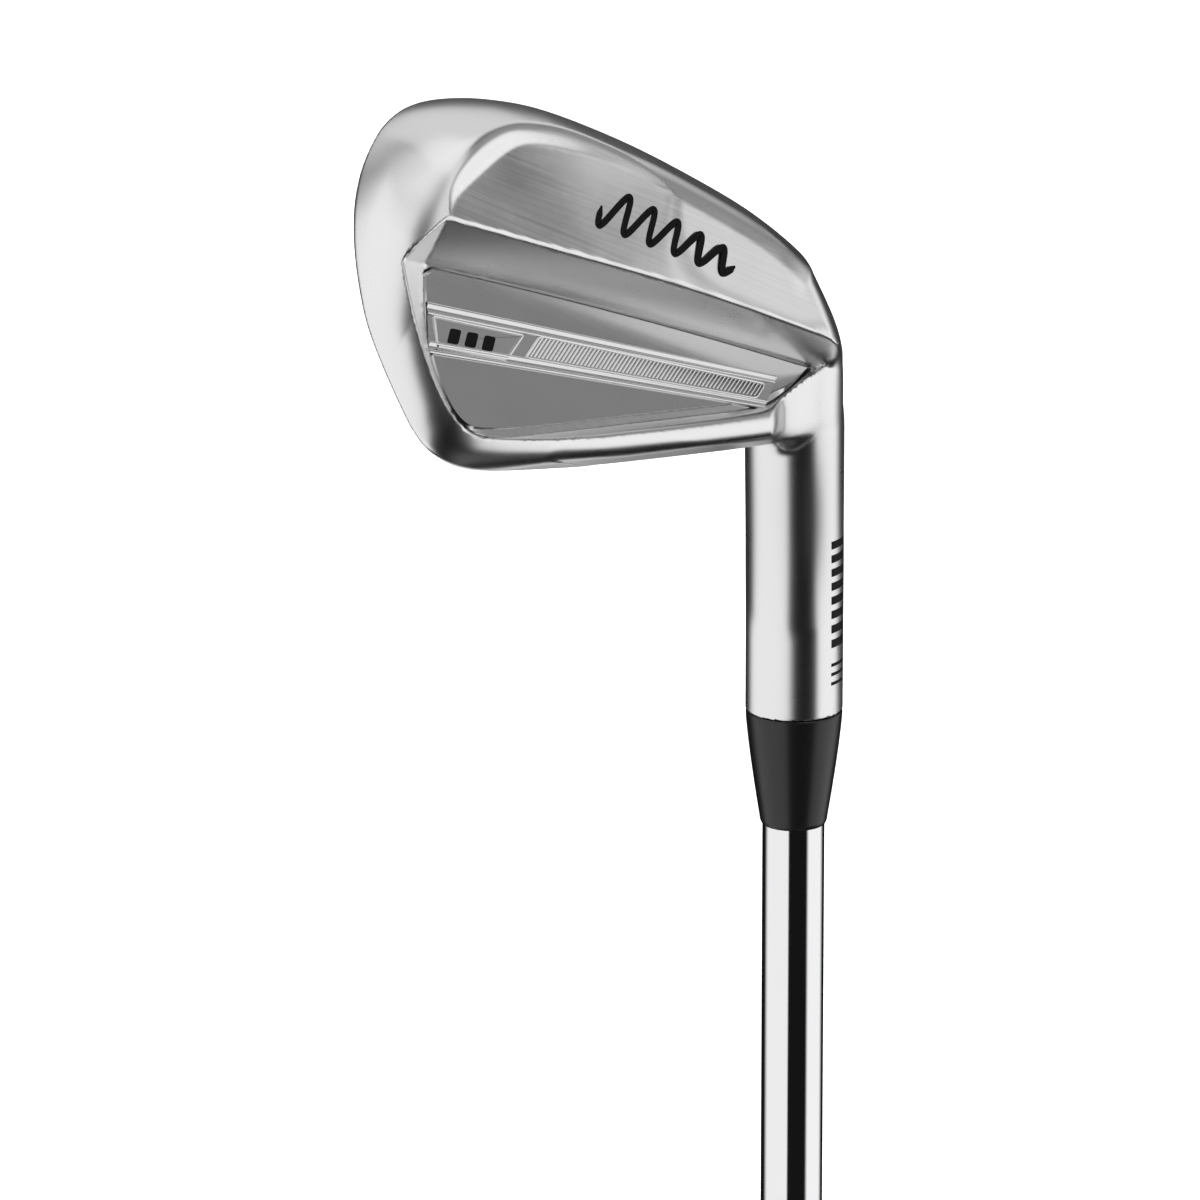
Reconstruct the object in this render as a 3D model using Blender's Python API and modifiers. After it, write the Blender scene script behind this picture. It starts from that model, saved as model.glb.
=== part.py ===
"""Cavity-back golf iron, right-handed, built from its separate pieces.

Row frame: origin at the centre of the grip's butt face, +Z up the shaft towards the
head, +Y the way the club face looks, +X from toe to heel. Lengths are in metres.

The head is laid out in face coordinates (millimetres): x along the face from heel to
toe, y up the face, z into the head behind the face plane.
"""
import math

import bmesh
import bpy
import numpy as np
from mathutils import Matrix, Vector

for old in list(bpy.data.objects):
    bpy.data.objects.remove(old, do_unlink=True)

MM = 0.001

# Club
CLUB_LENGTH = 0.940            # butt face to the ground, measured along the shaft
LIE = math.radians(63.0)       # shaft to ground
LOFT = math.radians(34.0)      # face to shaft
FACE_FORWARD = 4.5             # mm, leading edge ahead of the shaft axis
FACE_RAISE = 3.0               # mm, start of the face above the ground

# Shaft
TIP_DIA = 9.02                 # 0.355 inch
BUTT_DIA = 15.24               # 0.600 inch
SHAFT_STEPS = 14
FIRST_STEP_Z = 650.0
STEP_PITCH = 25.4
SHAFT_WALL = 0.85
SHAFT_BUTT_Z = 3.6

# Hosel and ferrule
HOSEL_DIA = 14.04
HOSEL_LENGTH = 73.25           # ground to hosel end, along the shaft
BORE_DIA = 9.42
BORE_DEPTH = 32.0
FERRULE_LENGTH = 17.2

# Grip
GRIP_LENGTH = 267.0
GRIP_BUTT_DIA = 26.4
GRIP_MOUTH_DIA = 17.6
GRIP_BORE_DIA = 15.84
VENT_DIA = 2.6

# Head
SOLE_CAMBER = 26.0             # leading edge to trailing edge
SOLE_LOW_F = -5.0              # lowest point of the sole behind the shaft axis
BACK_Z0 = 19.2                 # back plane: z = BACK_Z0 - BACK_SLOPE * y
BACK_SLOPE = 0.25
FACE_SEAT_DEPTH = 2.3
POCKET_FLOOR = 3.3
CUT_TOP = 20.0                 # cutters behind the head end here, clear of it
FAN_PIVOT = (14.0, 47.0)       # (a, u) about which the sections turn from blade to hosel
FAN_SECTIONS = 15
BLADE_STATIONS = (74.0, 73.3, 72.2, 70.7, 68.8, 66.5, 64.0, 61.5, 59.0, 56.0, 52.0, 47.0, 41.0,
                  34.0, 28.0, 22.0, 17.0)
HEEL_TURN = math.radians(35)   # heel side of the blade, turned back from the hosel's side
HEEL_BEND_FROM = 21.0          # it curves in below this height along the shaft
HEEL_BEND_OVER = 16.0
HEEL_BEND = 75.0
HEEL_ROUND = 4.5
RIM_ROUND = (3.2, 8.5)         # edge radius along the topline, and at the toe
RIM_ROUND_FROM, RIM_ROUND_OVER = 42.0, 26.0
HOSEL_FILLET = (1.5, 9.0)      # fillet between blade and hosel, on the heel side and in the crotch
CROTCH_FROM, CROTCH_OVER = -6.0, 9.0

# Toe and topline, heel end first, in face coordinates
OUTLINE = [
    (-22.0, 23.5), (-8.0, 31.0), (4.5, 37.2), (17.5, 43.2), (30.0, 48.8), (42.5, 53.9),
    (50.0, 56.7), (55.0, 57.8), (59.5, 57.2), (62.8, 54.8), (66.0, 50.6), (69.0, 46.0),
    (71.6, 41.0), (73.4, 35.5), (74.5, 30.0), (74.9, 24.5), (74.5, 18.0), (73.0, 10.0),
    (70.3, 0.0), (66.0, -12.0),
]

# Sole from the hosel's heel side round to the toe, (a, u) in the address frame
SOLE_LINE = [
    (-45.0, 52.0), (-22.5, 25.2), (-16.1, 18.1), (-10.7, 13.6), (-5.9, 9.7), (-2.3, 7.25),
    (3.0, 4.5), (12.1, 2.1), (22.0, 0.85), (35.0, 0.1), (48.0, 0.4), (56.0, 1.8), (62.0, 3.9),
    (66.7, 6.5), (69.9, 9.4), (72.6, 13.3), (74.6, 17.8), (76.8, 25.0), (80.0, 50.0),
]

# Back plate edge, heel end first along the muscle and back along the topline
PLATE_EDGE = [
    (-3.4, 23.6), (9.4, 24.0), (27.5, 26.2), (45.2, 28.7), (63.8, 31.7), (65.4, 33.2),
    (65.2, 39.0), (63.7, 45.2), (61.3, 50.0), (58.0, 53.4), (54.5, 54.4), (43.8, 50.3),
    (26.6, 42.3), (8.8, 34.2), (2.6, 30.8),
]
# How far each corner of the pocket in the back flares over its depth, (x, y)
POCKET_FLARE = [
    (-1.5, -4.0), (0.0, -5.5), (0.0, -6.6), (0.0, -7.2), (4.0, -7.2), (4.5, -2.0),
    (4.5, 0.0), (4.0, 1.0), (3.0, 2.2), (1.6, 2.8), (0.0, 2.8), (-0.8, 2.8),
    (-1.0, 2.8), (-1.2, 2.8), (-2.0, 2.2),
]
# The topline beyond the pocket is cut down to this height: heel end first, then over the rim
TOPLINE_THICK = 6.8
TOPLINE_EDGE = [
    (-4.0, 22.9), (9.4, 23.3), (27.5, 25.5), (45.2, 28.0), (64.5, 31.0), (67.0, 33.5), (68.0, 39.0),
    (66.0, 46.0), (62.5, 51.5), (57.5, 55.5), (53.0, 62.0), (30.0, 62.0), (0.0, 48.0), (-14.0, 34.0),
]
PLATE_BAR = [(64.9, 37.6), (64.0, 44.6), (4.6, 32.2), (3.4, 26.8)]
PLATE_PANEL = [(64.0, 38.9), (63.3, 43.4), (50.2, 40.4), (47.5, 35.8)]
RIB_STRIP = [(45.0, 35.4), (47.3, 39.5), (5.2, 31.2), (3.6, 28.2)]
RIB_COUNT = 60

# Face insert edge
INSERT_EDGE = [
    (9.0, 4.5), (22.0, 2.5), (36.0, 2.0), (50.0, 2.6), (60.0, 5.2), (67.0, 10.5), (70.2, 18.0),
    (71.0, 26.0), (70.2, 34.0), (67.0, 43.0), (61.8, 50.6), (57.0, 53.8), (52.0, 53.8),
    (41.0, 49.6), (28.0, 44.2), (14.0, 37.6), (9.0, 35.0),
]
SCORE_COUNT = 13
SCORE_PITCH = 3.56
SCORE_WIDTH = 0.8
SCORE_DEPTH = 0.45
SCORE_FIRST_Y = 6.4
SCORE_HEEL_X = 14.0
SCORE_TOE_X = 60.0

# Weights inside the head, and the slots that lead to them from the pocket: size and centre
WEIGHT_ROOM = 0.6
TOE_WEIGHT, TOE_WEIGHT_AT = (10.4, 12.9, 5.0), (56.5, 19.25, 6.4)
HEEL_WEIGHT, HEEL_WEIGHT_AT = (8.4, 7.4, 4.4), (10.5, 16.0, 6.1)
TOE_NECK, TOE_NECK_AT = (9.0, 12.0, 0.8), (56.5, 27.0, 3.75)
HEEL_NECK, HEEL_NECK_AT = (7.0, 10.0, 0.8), (10.5, 21.0, 3.75)

PLATE_SEAT = 3.9               # underside of the back plate
PLATE_TOP = 5.3
PLATE_GAP = 0.35               # between the plate's edge and the pocket's wall
INLAY_GAP = 0.3
TAPE_THICK = 0.45
TAPE_MARGIN = 2.5
BAR_RISE = 0.45
FERRULE_RINGS = 8
BAND_Z = 280.0                 # film label round the shaft, below the grip's mouth
BAND_WIDTH = 28.0
CAP_THICK = 3.2
GRIP_TAPER = [(235.0, 8.75), (190.0, 9.4), (140.0, 10.3), (95.0, 11.2), (50.0, 12.2),
              (22.0, 12.9)]


def mm(*values):
    return tuple(v * MM for v in values)


# ---------------------------------------------------------------- scene helpers

def collection(name):
    col = bpy.data.collections.new(name)
    bpy.context.scene.collection.children.link(col)
    return col


PARTS = collection("golf_iron")
CUTTERS = collection("cutters")


def material(name, color, metallic, roughness):
    mat = bpy.data.materials.new(name)
    mat.use_nodes = True
    shader = mat.node_tree.nodes["Principled BSDF"]
    shader.inputs["Base Color"].default_value = (*color, 1.0)
    shader.inputs["Metallic"].default_value = metallic
    shader.inputs["Roughness"].default_value = roughness
    return mat


def empty(name, location, rotation, parent=None):
    obj = bpy.data.objects.new(name, None)
    obj.location = location
    obj.rotation_euler = rotation
    obj.parent = parent
    PARTS.objects.link(obj)
    return obj


def add(name, mesh, mat=None, parent=None, location=(0, 0, 0), rotation=(0, 0, 0), cutter=False):
    obj = bpy.data.objects.new(name, mesh)
    obj.location = location
    obj.rotation_euler = rotation
    obj.parent = parent
    if cutter:
        obj.hide_render = True
        obj.display_type = "WIRE"
        CUTTERS.objects.link(obj)
    else:
        mesh.materials.append(mat)
        PARTS.objects.link(obj)
    return obj


def polygon_mesh(name, points, z):
    """One flat face in mm, facing +Z."""
    mesh = bpy.data.meshes.new(name)
    mesh.from_pydata([mm(x, y, z) for x, y in points], [], [tuple(range(len(points)))])
    return mesh


def slab(name, points, z0, z1, bevel=0.0, **kw):
    """Flat plate between two heights: a face thickened with Solidify."""
    if area(points) < 0:
        points = points[::-1]
    obj = add(name, polygon_mesh(name, points, z0), **kw)
    solid = obj.modifiers.new("Thickness", "SOLIDIFY")
    solid.thickness = (z1 - z0) * MM
    solid.offset = 1.0
    if bevel:
        edge = obj.modifiers.new("Edge break", "BEVEL")
        edge.width = bevel * MM
        edge.segments = 2
        edge.limit_method = "ANGLE"
        edge.angle_limit = math.radians(50)
    return obj


def area(points):
    return 0.5 * sum(a[0] * b[1] - b[0] * a[1] for a, b in zip(points, points[1:] + points[:1]))


def box(name, size, location, bevel=0.0, **kw):
    bm = bmesh.new()
    bmesh.ops.create_cube(bm, size=1.0, matrix=Matrix.Diagonal((*mm(*size), 1.0)))
    mesh = bpy.data.meshes.new(name)
    bm.to_mesh(mesh)
    bm.free()
    obj = add(name, mesh, location=mm(*location), **kw)
    if bevel:
        edge = obj.modifiers.new("Edge break", "BEVEL")
        edge.width = bevel * MM
        edge.segments = 2
    return obj


def lathe(name, profile, steps=48, **kw):
    """Solid of revolution about Z from (radius, z) pairs in mm, top to bottom down the outside."""
    mesh = bpy.data.meshes.new(name)
    closed = profile[0][0] > 0
    count = len(profile)
    edges = [(i, i + 1) for i in range(count - 1)] + ([(count - 1, 0)] if closed else [])
    mesh.from_pydata([mm(r, 0, z) for r, z in profile], edges, [])
    obj = add(name, mesh, **kw)
    screw = obj.modifiers.new("Lathe", "SCREW")
    screw.axis = "Z"
    screw.angle = 2 * math.pi
    screw.steps = steps
    screw.render_steps = steps
    screw.use_merge_vertices = True
    screw.merge_threshold = 0.00001
    return obj


def grow(points, margin):
    """Polygon moved outwards by a margin in mm, or inwards if it is negative."""
    turn = 1 if area(points) > 0 else -1
    ring = [Vector(p) for p in points]
    moved = []
    for before, here, after in zip(ring[-1:] + ring[:-1], ring, ring[1:] + ring[:1]):
        n1 = Vector((here - before).yx).normalized()
        n2 = Vector((after - here).yx).normalized()
        n1, n2 = Vector((n1.x, -n1.y)) * turn, Vector((n2.x, -n2.y)) * turn
        mean = (n1 + n2).normalized()
        moved.append(tuple(here + mean * margin / max(mean.dot(n1), 0.4)))
    return moved


def slab_loft(name, points, z0, flare, z1, parent):
    """Cutter with straight walls that flare from one polygon to a wider one."""
    count = len(points)
    wide = [(x + dx, y + dy) for (x, y), (dx, dy) in zip(points, flare)]
    verts = [mm(x, y, z0) for x, y in points] + [mm(x, y, z1) for x, y in wide]
    sides = [(i, (i + 1) % count, count + (i + 1) % count, count + i) for i in range(count)]
    mesh = bpy.data.meshes.new(name)
    mesh.from_pydata(verts, [], [tuple(range(count))[::-1], tuple(range(count, 2 * count))] + sides)
    return add(name, mesh, parent=parent, cutter=True)


def cut(obj, *cutters):
    for cutter in cutters:
        boolean = obj.modifiers.new("Cut " + cutter.name, "BOOLEAN")
        boolean.operation = "DIFFERENCE"
        boolean.solver = "EXACT"
        boolean.object = cutter


# ---------------------------------------------------------------- head shape

SIN_LIE, COS_LIE = math.sin(LIE), math.cos(LIE)
SIN_LOFT, COS_LOFT = math.sin(LOFT), math.cos(LOFT)


def spline(points, per_span):
    """Catmull-Rom curve through the points."""
    p = np.array([points[0]] + points + [points[-1]], float)
    t = np.linspace(0, 1, per_span, endpoint=False)[:, None]
    spans = []
    for a, b, c, d in zip(p, p[1:], p[2:], p[3:]):
        spans.append(0.5 * (2 * b + (c - a) * t + (2 * a - 5 * b + 4 * c - d) * t * t
                            + (3 * b - a - 3 * c + d) * t ** 3))
    return np.vstack(spans + [p[-1:]])


def convex_field(points, per_span):
    """Distance to a smooth convex boundary, negative on its right-hand side."""
    curve = spline(points, per_span)
    edge = np.diff(curve, axis=0)
    normal = np.stack([-edge[:, 1], edge[:, 0]], 1) / np.hypot(edge[:, 0], edge[:, 1])[:, None]
    offset = (normal * curve[:-1]).sum(1)
    return lambda p, q: (normal[:, 0] * p[:, None] + normal[:, 1] * q[:, None] - offset).max(1)


rim_field = convex_field(OUTLINE, 4)
sole_field = convex_field(SOLE_LINE[::-1], 4)


def round_and(a, b, r):
    """Intersection of two fields with a rounded edge."""
    return np.minimum(-r, np.maximum(a, b)) + np.hypot(np.maximum(a + r, 0), np.maximum(b + r, 0))


def round_or(a, b, r):
    """Union of two fields with a fillet."""
    return -round_and(-a, -b, r)


def smooth_step(t):
    t = np.clip(t, 0.0, 1.0)
    return t * t * (3 - 2 * t)


def head_field(p):
    """Outside of the forging as a field, negative inside; p in mm, rows of (a, f, u)."""
    a, f, u = p.T
    y = -SIN_LOFT * (f - FACE_FORWARD) + COS_LOFT * (u - FACE_RAISE)
    z = -COS_LOFT * (f - FACE_FORWARD) - SIN_LOFT * (u - FACE_RAISE)
    beside = a * SIN_LIE + u * COS_LIE
    along = u * SIN_LIE - a * COS_LIE

    back = (z - BACK_Z0 + BACK_SLOPE * y) / math.hypot(1.0, BACK_SLOPE)
    toe_side = np.clip((a - RIM_ROUND_FROM) / RIM_ROUND_OVER, 0.0, 1.0)
    rim_round = RIM_ROUND[0] + (RIM_ROUND[1] - RIM_ROUND[0]) * toe_side
    blade = round_and(back, rim_field(a, y), rim_round)
    blade = round_and(blade, -z, 1.2)
    heel = -beside * math.cos(HEEL_TURN) - f * math.sin(HEEL_TURN) - HOSEL_DIA / 2
    heel = heel + np.clip(HEEL_BEND_FROM - along, 0, HEEL_BEND_OVER) ** 2 / HEEL_BEND
    blade = round_and(blade, heel, HEEL_ROUND)

    hosel = np.hypot(f, beside) - HOSEL_DIA / 2
    crotch = smooth_step((beside - CROTCH_FROM) / CROTCH_OVER)
    fillet = HOSEL_FILLET[0] + (HOSEL_FILLET[1] - HOSEL_FILLET[0]) * crotch
    across = np.clip(np.abs(f - SOLE_LOW_F), 0.0, 0.95 * SOLE_CAMBER)
    sole = sole_field(a, u) + SOLE_CAMBER - np.sqrt(SOLE_CAMBER ** 2 - across ** 2)
    return round_and(round_or(blade, hosel, fillet), sole, 1.9)


def head_sections():
    """Section frames from toe to hosel end: centre, long and short in-plane half-axes."""
    up = Vector((-COS_LIE, 0, SIN_LIE))
    face_up = Vector((0, -SIN_LOFT, COS_LOFT))
    face_in = Vector((0, -COS_LOFT, -SIN_LOFT))
    frames = []
    for a in BLADE_STATIONS:
        toe = max((a - 66.0) / 8.0, 0.0)
        y, z = 27.0 - 0.12 * (60 - a), 5.5 - 3.8 * toe
        centre = Vector((a, FACE_FORWARD, FACE_RAISE)) + face_up * y + face_in * z
        frames.append((centre, face_up * 27, face_in * 9))
    pivot = Vector((FAN_PIVOT[0], 0, FAN_PIVOT[1]))
    foot = up * pivot.dot(up)
    for i in range(FAN_SECTIONS):
        t = i / (FAN_SECTIONS - 1)
        angle = t * LIE
        inward = Vector((math.sin(angle), 0, math.cos(angle)))
        reach = (1 - t) * 27.5 + t * (foot - pivot).length + 5.0 * math.sin(math.pi * t)
        centre = pivot - inward * reach + Vector((0, -8.0 * (1 - t) ** 0.5, 0))
        lean = LOFT * (1 - t)
        long = inward * math.cos(lean) + Vector((0, -math.sin(lean), 0))
        short = -inward * math.sin(lean) + Vector((0, -math.cos(lean), 0))
        frames.append((centre, long * (22 - 15 * t), short * (9 - 2 * t)))
    side, back = Vector((SIN_LIE, 0, COS_LIE)), Vector((0, -1, 0))
    top = foot.length
    for t in (0.2, 0.45, 0.72, 0.985, 1.0):
        frames.append((up * (top + (HOSEL_LENGTH - top) * t), side * 7, back * 7))
    return frames


def section_outline(centre, long, short, count):
    """Where the head field crosses zero in a section, resampled closer where it turns."""
    w = np.linspace(0, 2 * math.pi, 360, endpoint=False)
    rays = np.outer(np.cos(w), long) + np.outer(np.sin(w), short)
    reach = np.linspace(0, 3.0, 91)
    points = np.array(centre) + rays[:, None] * reach[:, None]
    outside = head_field(points.reshape(-1, 3)).reshape(w.size, reach.size) > 0
    first = outside.argmax(1)
    near, far = reach[first - 1], reach[first]
    for _ in range(12):
        middle = 0.5 * (near + far)
        inside = head_field(np.array(centre) + rays * middle[:, None]) < 0
        near, far = np.where(inside, middle, near), np.where(inside, far, middle)
    ring = np.array(centre) + rays * near[:, None]
    step = np.roll(ring, -1, 0) - ring
    length = np.linalg.norm(step, axis=1)
    unit = step / np.maximum(length, 1e-9)[:, None]
    bend = np.arccos(np.clip((unit * np.roll(unit, 1, 0)).sum(1), -1, 1))
    bend = sum(np.roll(bend, k) for k in range(-4, 5)) / 9
    weight = length / length.sum() + 0.55 * bend / bend.sum()
    travel = np.concatenate([[0], np.cumsum(weight)]) / weight.sum()
    wanted = np.arange(count) / count
    closed = np.vstack([ring, ring[:1]])
    return np.stack([np.interp(wanted, travel, closed[:, k]) for k in range(3)], 1)


def head_loft(name, spokes=64):
    """Loft through the section outlines, closed at the toe and at the hosel end."""
    sections = head_sections()
    rings = [section_outline(*section, spokes) for section in sections]
    end = np.array(sections[-1][0])
    rings[-1] = end + (rings[-1] - end) * (1 - 0.4 / (HOSEL_DIA / 2))
    verts = np.vstack([rings[0].mean(0)[None], *rings, end[None]]) * MM
    faces = [(0, 1 + (i + 1) % spokes, 1 + i) for i in range(spokes)]
    for n in range(len(rings) - 1):
        base = 1 + n * spokes
        for i in range(spokes):
            j = (i + 1) % spokes
            faces.append((base + i, base + j, base + spokes + j, base + spokes + i))
    last = len(verts) - 1
    faces += [(last, last - spokes + i, last - spokes + (i + 1) % spokes) for i in range(spokes)]
    mesh = bpy.data.meshes.new(name)
    mesh.from_pydata([tuple(v) for v in verts], [], faces)
    bm = bmesh.new()
    bm.from_mesh(mesh)
    bmesh.ops.recalc_face_normals(bm, faces=bm.faces)
    bm.to_mesh(mesh)
    bm.free()
    return mesh


# ---------------------------------------------------------------- materials

CHROME = material("chrome_satin", (0.78, 0.78, 0.79), 1.0, 0.22)
FACE_STEEL = material("face_steel", (0.60, 0.60, 0.61), 1.0, 0.38)
TUNGSTEN = material("tungsten", (0.36, 0.36, 0.37), 1.0, 0.45)
PLATE_STEEL = material("plate_satin", (0.66, 0.66, 0.67), 1.0, 0.28)
FOAM = material("bond_tape", (0.10, 0.10, 0.11), 0.0, 0.8)
FERRULE_PLASTIC = material("ferrule_black", (0.015, 0.015, 0.017), 0.0, 0.22)
EPOXY = material("epoxy", (0.62, 0.56, 0.42), 0.0, 0.4)
BRASS = material("tip_brass", (0.72, 0.55, 0.28), 1.0, 0.35)
SHAFT_CHROME = material("shaft_chrome", (0.82, 0.82, 0.83), 1.0, 0.08)
BAND_FILM = material("band_film", (0.05, 0.05, 0.06), 0.0, 0.35)
TAPE = material("grip_tape", (0.80, 0.76, 0.66), 0.0, 0.7)
RUBBER = material("grip_rubber", (0.02, 0.02, 0.021), 0.0, 0.75)
CAP_RUBBER = material("cap_rubber", (0.03, 0.03, 0.032), 0.0, 0.6)
RIB_STEEL = material("rib_steel", (0.70, 0.70, 0.71), 1.0, 0.25)
PANEL_STEEL = material("panel_steel", (0.62, 0.62, 0.63), 1.0, 0.3)

# ---------------------------------------------------------------- frames

GROUND = empty("address_frame", (0, 0, CLUB_LENGTH), (0, math.radians(270) - LIE, 0))
FACE = empty("face_frame", mm(0, FACE_FORWARD, FACE_RAISE), (math.pi / 2 + LOFT, 0, 0), GROUND)

# ---------------------------------------------------------------- head body

head = add("head_body", head_loft("head_body"), CHROME, GROUND)
pocket_cut = slab_loft("pocket_cut", grow(PLATE_EDGE, PLATE_GAP), POCKET_FLOOR, POCKET_FLARE,
                       CUT_TOP, FACE)
topline_cut = slab("topline_cut", TOPLINE_EDGE, TOPLINE_THICK, CUT_TOP, cutter=True, parent=FACE)
face_seat = slab("face_seat_cut", INSERT_EDGE, -3.0, FACE_SEAT_DEPTH, cutter=True, parent=FACE)


def roomy(size):
    """Size of the hole that a weight sits in."""
    return tuple(side + WEIGHT_ROOM for side in size)


hosel_end = -HOSEL_LENGTH
bore_top = hosel_end + BORE_DEPTH
bore_cut = lathe("bore_cut", [(0, bore_top), (BORE_DIA / 2, bore_top),
                              (BORE_DIA / 2, hosel_end - 5), (0, hosel_end - 5)],
                 location=(0, 0, CLUB_LENGTH), cutter=True)
toe_hole = box("toe_weight_cut", roomy(TOE_WEIGHT), TOE_WEIGHT_AT, parent=FACE, cutter=True)
heel_hole = box("heel_weight_cut", roomy(HEEL_WEIGHT), HEEL_WEIGHT_AT, parent=FACE, cutter=True)
toe_neck = box("toe_neck_cut", TOE_NECK, TOE_NECK_AT, parent=FACE, cutter=True)
heel_neck = box("heel_neck_cut", HEEL_NECK, HEEL_NECK_AT, parent=FACE, cutter=True)
cut(head, pocket_cut, topline_cut, face_seat, bore_cut, toe_hole, toe_neck, heel_hole, heel_neck)

# ---------------------------------------------------------------- inside the head

box("toe_weight", TOE_WEIGHT, TOE_WEIGHT_AT, bevel=0.6, mat=TUNGSTEN, parent=FACE)
box("heel_weight", HEEL_WEIGHT, HEEL_WEIGHT_AT, bevel=0.6, mat=TUNGSTEN, parent=FACE)

# ---------------------------------------------------------------- face insert


def score_lines():
    """One cutter holding every groove, each trimmed to the topline's slope."""
    bm = bmesh.new()
    for i in range(SCORE_COUNT):
        y = SCORE_FIRST_Y + i * SCORE_PITCH
        left = max(SCORE_HEEL_X, SCORE_HEEL_X + (y - 30.0) / 0.437)
        grow_to = Matrix.Diagonal((*mm(SCORE_TOE_X - left, SCORE_WIDTH, 2 * SCORE_DEPTH), 1.0))
        place = Matrix.Translation(mm((SCORE_TOE_X + left) / 2, y, 0))
        bmesh.ops.create_cube(bm, size=1.0, matrix=place @ grow_to)
    mesh = bpy.data.meshes.new("score_cut")
    bm.to_mesh(mesh)
    bm.free()
    return add("score_cut", mesh, parent=FACE, cutter=True)


insert = slab("face_insert", grow(INSERT_EDGE, -0.15), 0.0, FACE_SEAT_DEPTH - 0.3,
              mat=FACE_STEEL, parent=FACE)
cut(insert, score_lines())

# ---------------------------------------------------------------- back plate

tape_top = PLATE_SEAT - 0.05
slab("plate_bond_tape", grow(PLATE_EDGE, -TAPE_MARGIN), tape_top - TAPE_THICK, tape_top, mat=FOAM,
     parent=FACE)

plate = slab("back_plate", PLATE_EDGE, PLATE_SEAT, PLATE_TOP, bevel=0.15,
             mat=PLATE_STEEL, parent=FACE)
bar = slab("bar_add", PLATE_BAR, PLATE_SEAT + 0.4, PLATE_TOP + BAR_RISE, cutter=True, parent=FACE)
join = plate.modifiers.new("Raised bar", "BOOLEAN")
join.operation = "UNION"
join.object = bar
panel_cut = slab("panel_cut", PLATE_PANEL, PLATE_TOP, PLATE_TOP + 3, cutter=True, parent=FACE)
strip_cut = slab("strip_cut", RIB_STRIP, PLATE_TOP + 0.1, PLATE_TOP + 3, cutter=True, parent=FACE)
cut(plate, panel_cut, strip_cut)


def ribbed_strip(name, edge, ribs, floor, top):
    """Strip of ribs standing on a thin base, one closed solid."""
    a, b, c, d = [Vector(p) for p in grow(edge, -INLAY_GAP)]
    outline = [(0.0, 0.0)]
    for i in range(ribs):
        for t, h in ((0.18, 0.0), (0.32, 1.0), (0.68, 1.0), (0.82, 0.0)):
            outline.append(((i + t) / ribs, h))
    outline.append((1.0, 0.0))
    rise = top - floor
    verts, count = [], len(outline)
    for start, stop in ((a, d), (b, c)):
        for along, height in outline:
            p = start.lerp(stop, along)
            verts.append(mm(p.x, p.y, floor + rise * (0.4 + 0.6 * height)))
    for start, stop in ((a, d), (b, c)):
        for p in (start, stop):
            verts.append(mm(p.x, p.y, floor))
    base = 2 * count
    faces = [(i, i + 1, count + i + 1, count + i) for i in range(count - 1)]
    faces.append((base, base + 2, base + 3, base + 1))
    faces.append((base, base + 1, *range(count - 1, -1, -1)))
    faces.append((base + 3, base + 2, *range(count, 2 * count)))
    faces.append((base, 0, count, base + 2))
    faces.append((base + 1, base + 3, 2 * count - 1, count - 1))
    mesh = bpy.data.meshes.new(name)
    mesh.from_pydata(verts, [], faces)
    bm = bmesh.new()
    bm.from_mesh(mesh)
    bmesh.ops.recalc_face_normals(bm, faces=bm.faces)
    bm.to_mesh(mesh)
    bm.free()
    return add(name, mesh, RIB_STEEL, FACE)


ribbed_strip("rib_inlay", RIB_STRIP, RIB_COUNT, PLATE_TOP + 0.15, PLATE_TOP + BAR_RISE)
slab("panel_inlay", grow(PLATE_PANEL, -INLAY_GAP), PLATE_TOP + 0.05, PLATE_TOP + 0.3,
     mat=PANEL_STEEL, parent=FACE)

# ---------------------------------------------------------------- hosel end

ferrule_low = hosel_end - FERRULE_LENGTH
ferrule_outer = [(HOSEL_DIA / 2 - 0.02, hosel_end - 0.05)]
for i in range(FERRULE_RINGS + 1):
    t = i / FERRULE_RINGS
    ferrule_outer.append((HOSEL_DIA / 2 - 2.05 * t ** 1.25, hosel_end - 0.4 - 16.2 * t))
ferrule_outer.append((TIP_DIA / 2 + 0.12, ferrule_low))
ferrule_bore = TIP_DIA / 2 + 0.04
lathe("ferrule", ferrule_outer + [(ferrule_bore, ferrule_low), (ferrule_bore, hosel_end - 0.05)],
      mat=FERRULE_PLASTIC, location=(0, 0, CLUB_LENGTH))

glue_out = BORE_DIA / 2 - 0.02
glue_in = TIP_DIA / 2 + 0.03
lathe("hosel_epoxy", [(glue_out, bore_top - 0.6), (glue_out, hosel_end + 0.1),
                      (glue_in, hosel_end + 0.1), (glue_in, bore_top - 0.6)],
      mat=EPOXY, location=(0, 0, CLUB_LENGTH))

# ---------------------------------------------------------------- shaft

tip_z = CLUB_LENGTH / MM + bore_top - 0.4
step_rise = (BUTT_DIA - TIP_DIA) / 2 / SHAFT_STEPS
shaft_outer = [(TIP_DIA / 2 - 0.4, tip_z), (TIP_DIA / 2, tip_z - 0.5)]
for i in range(SHAFT_STEPS):
    z = FIRST_STEP_Z - i * STEP_PITCH
    shaft_outer += [(TIP_DIA / 2 + i * step_rise, z + 0.6),
                    (TIP_DIA / 2 + (i + 1) * step_rise, z - 0.6)]
shaft_outer.append((BUTT_DIA / 2, SHAFT_BUTT_Z))
shaft_inner = [(BUTT_DIA / 2 - SHAFT_WALL, SHAFT_BUTT_Z),
               (BUTT_DIA / 2 - SHAFT_WALL, FIRST_STEP_Z - SHAFT_STEPS * STEP_PITCH),
               (TIP_DIA / 2 - SHAFT_WALL, FIRST_STEP_Z - 10), (TIP_DIA / 2 - SHAFT_WALL, tip_z)]
lathe("shaft", shaft_outer + shaft_inner, steps=36, mat=SHAFT_CHROME)

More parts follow.
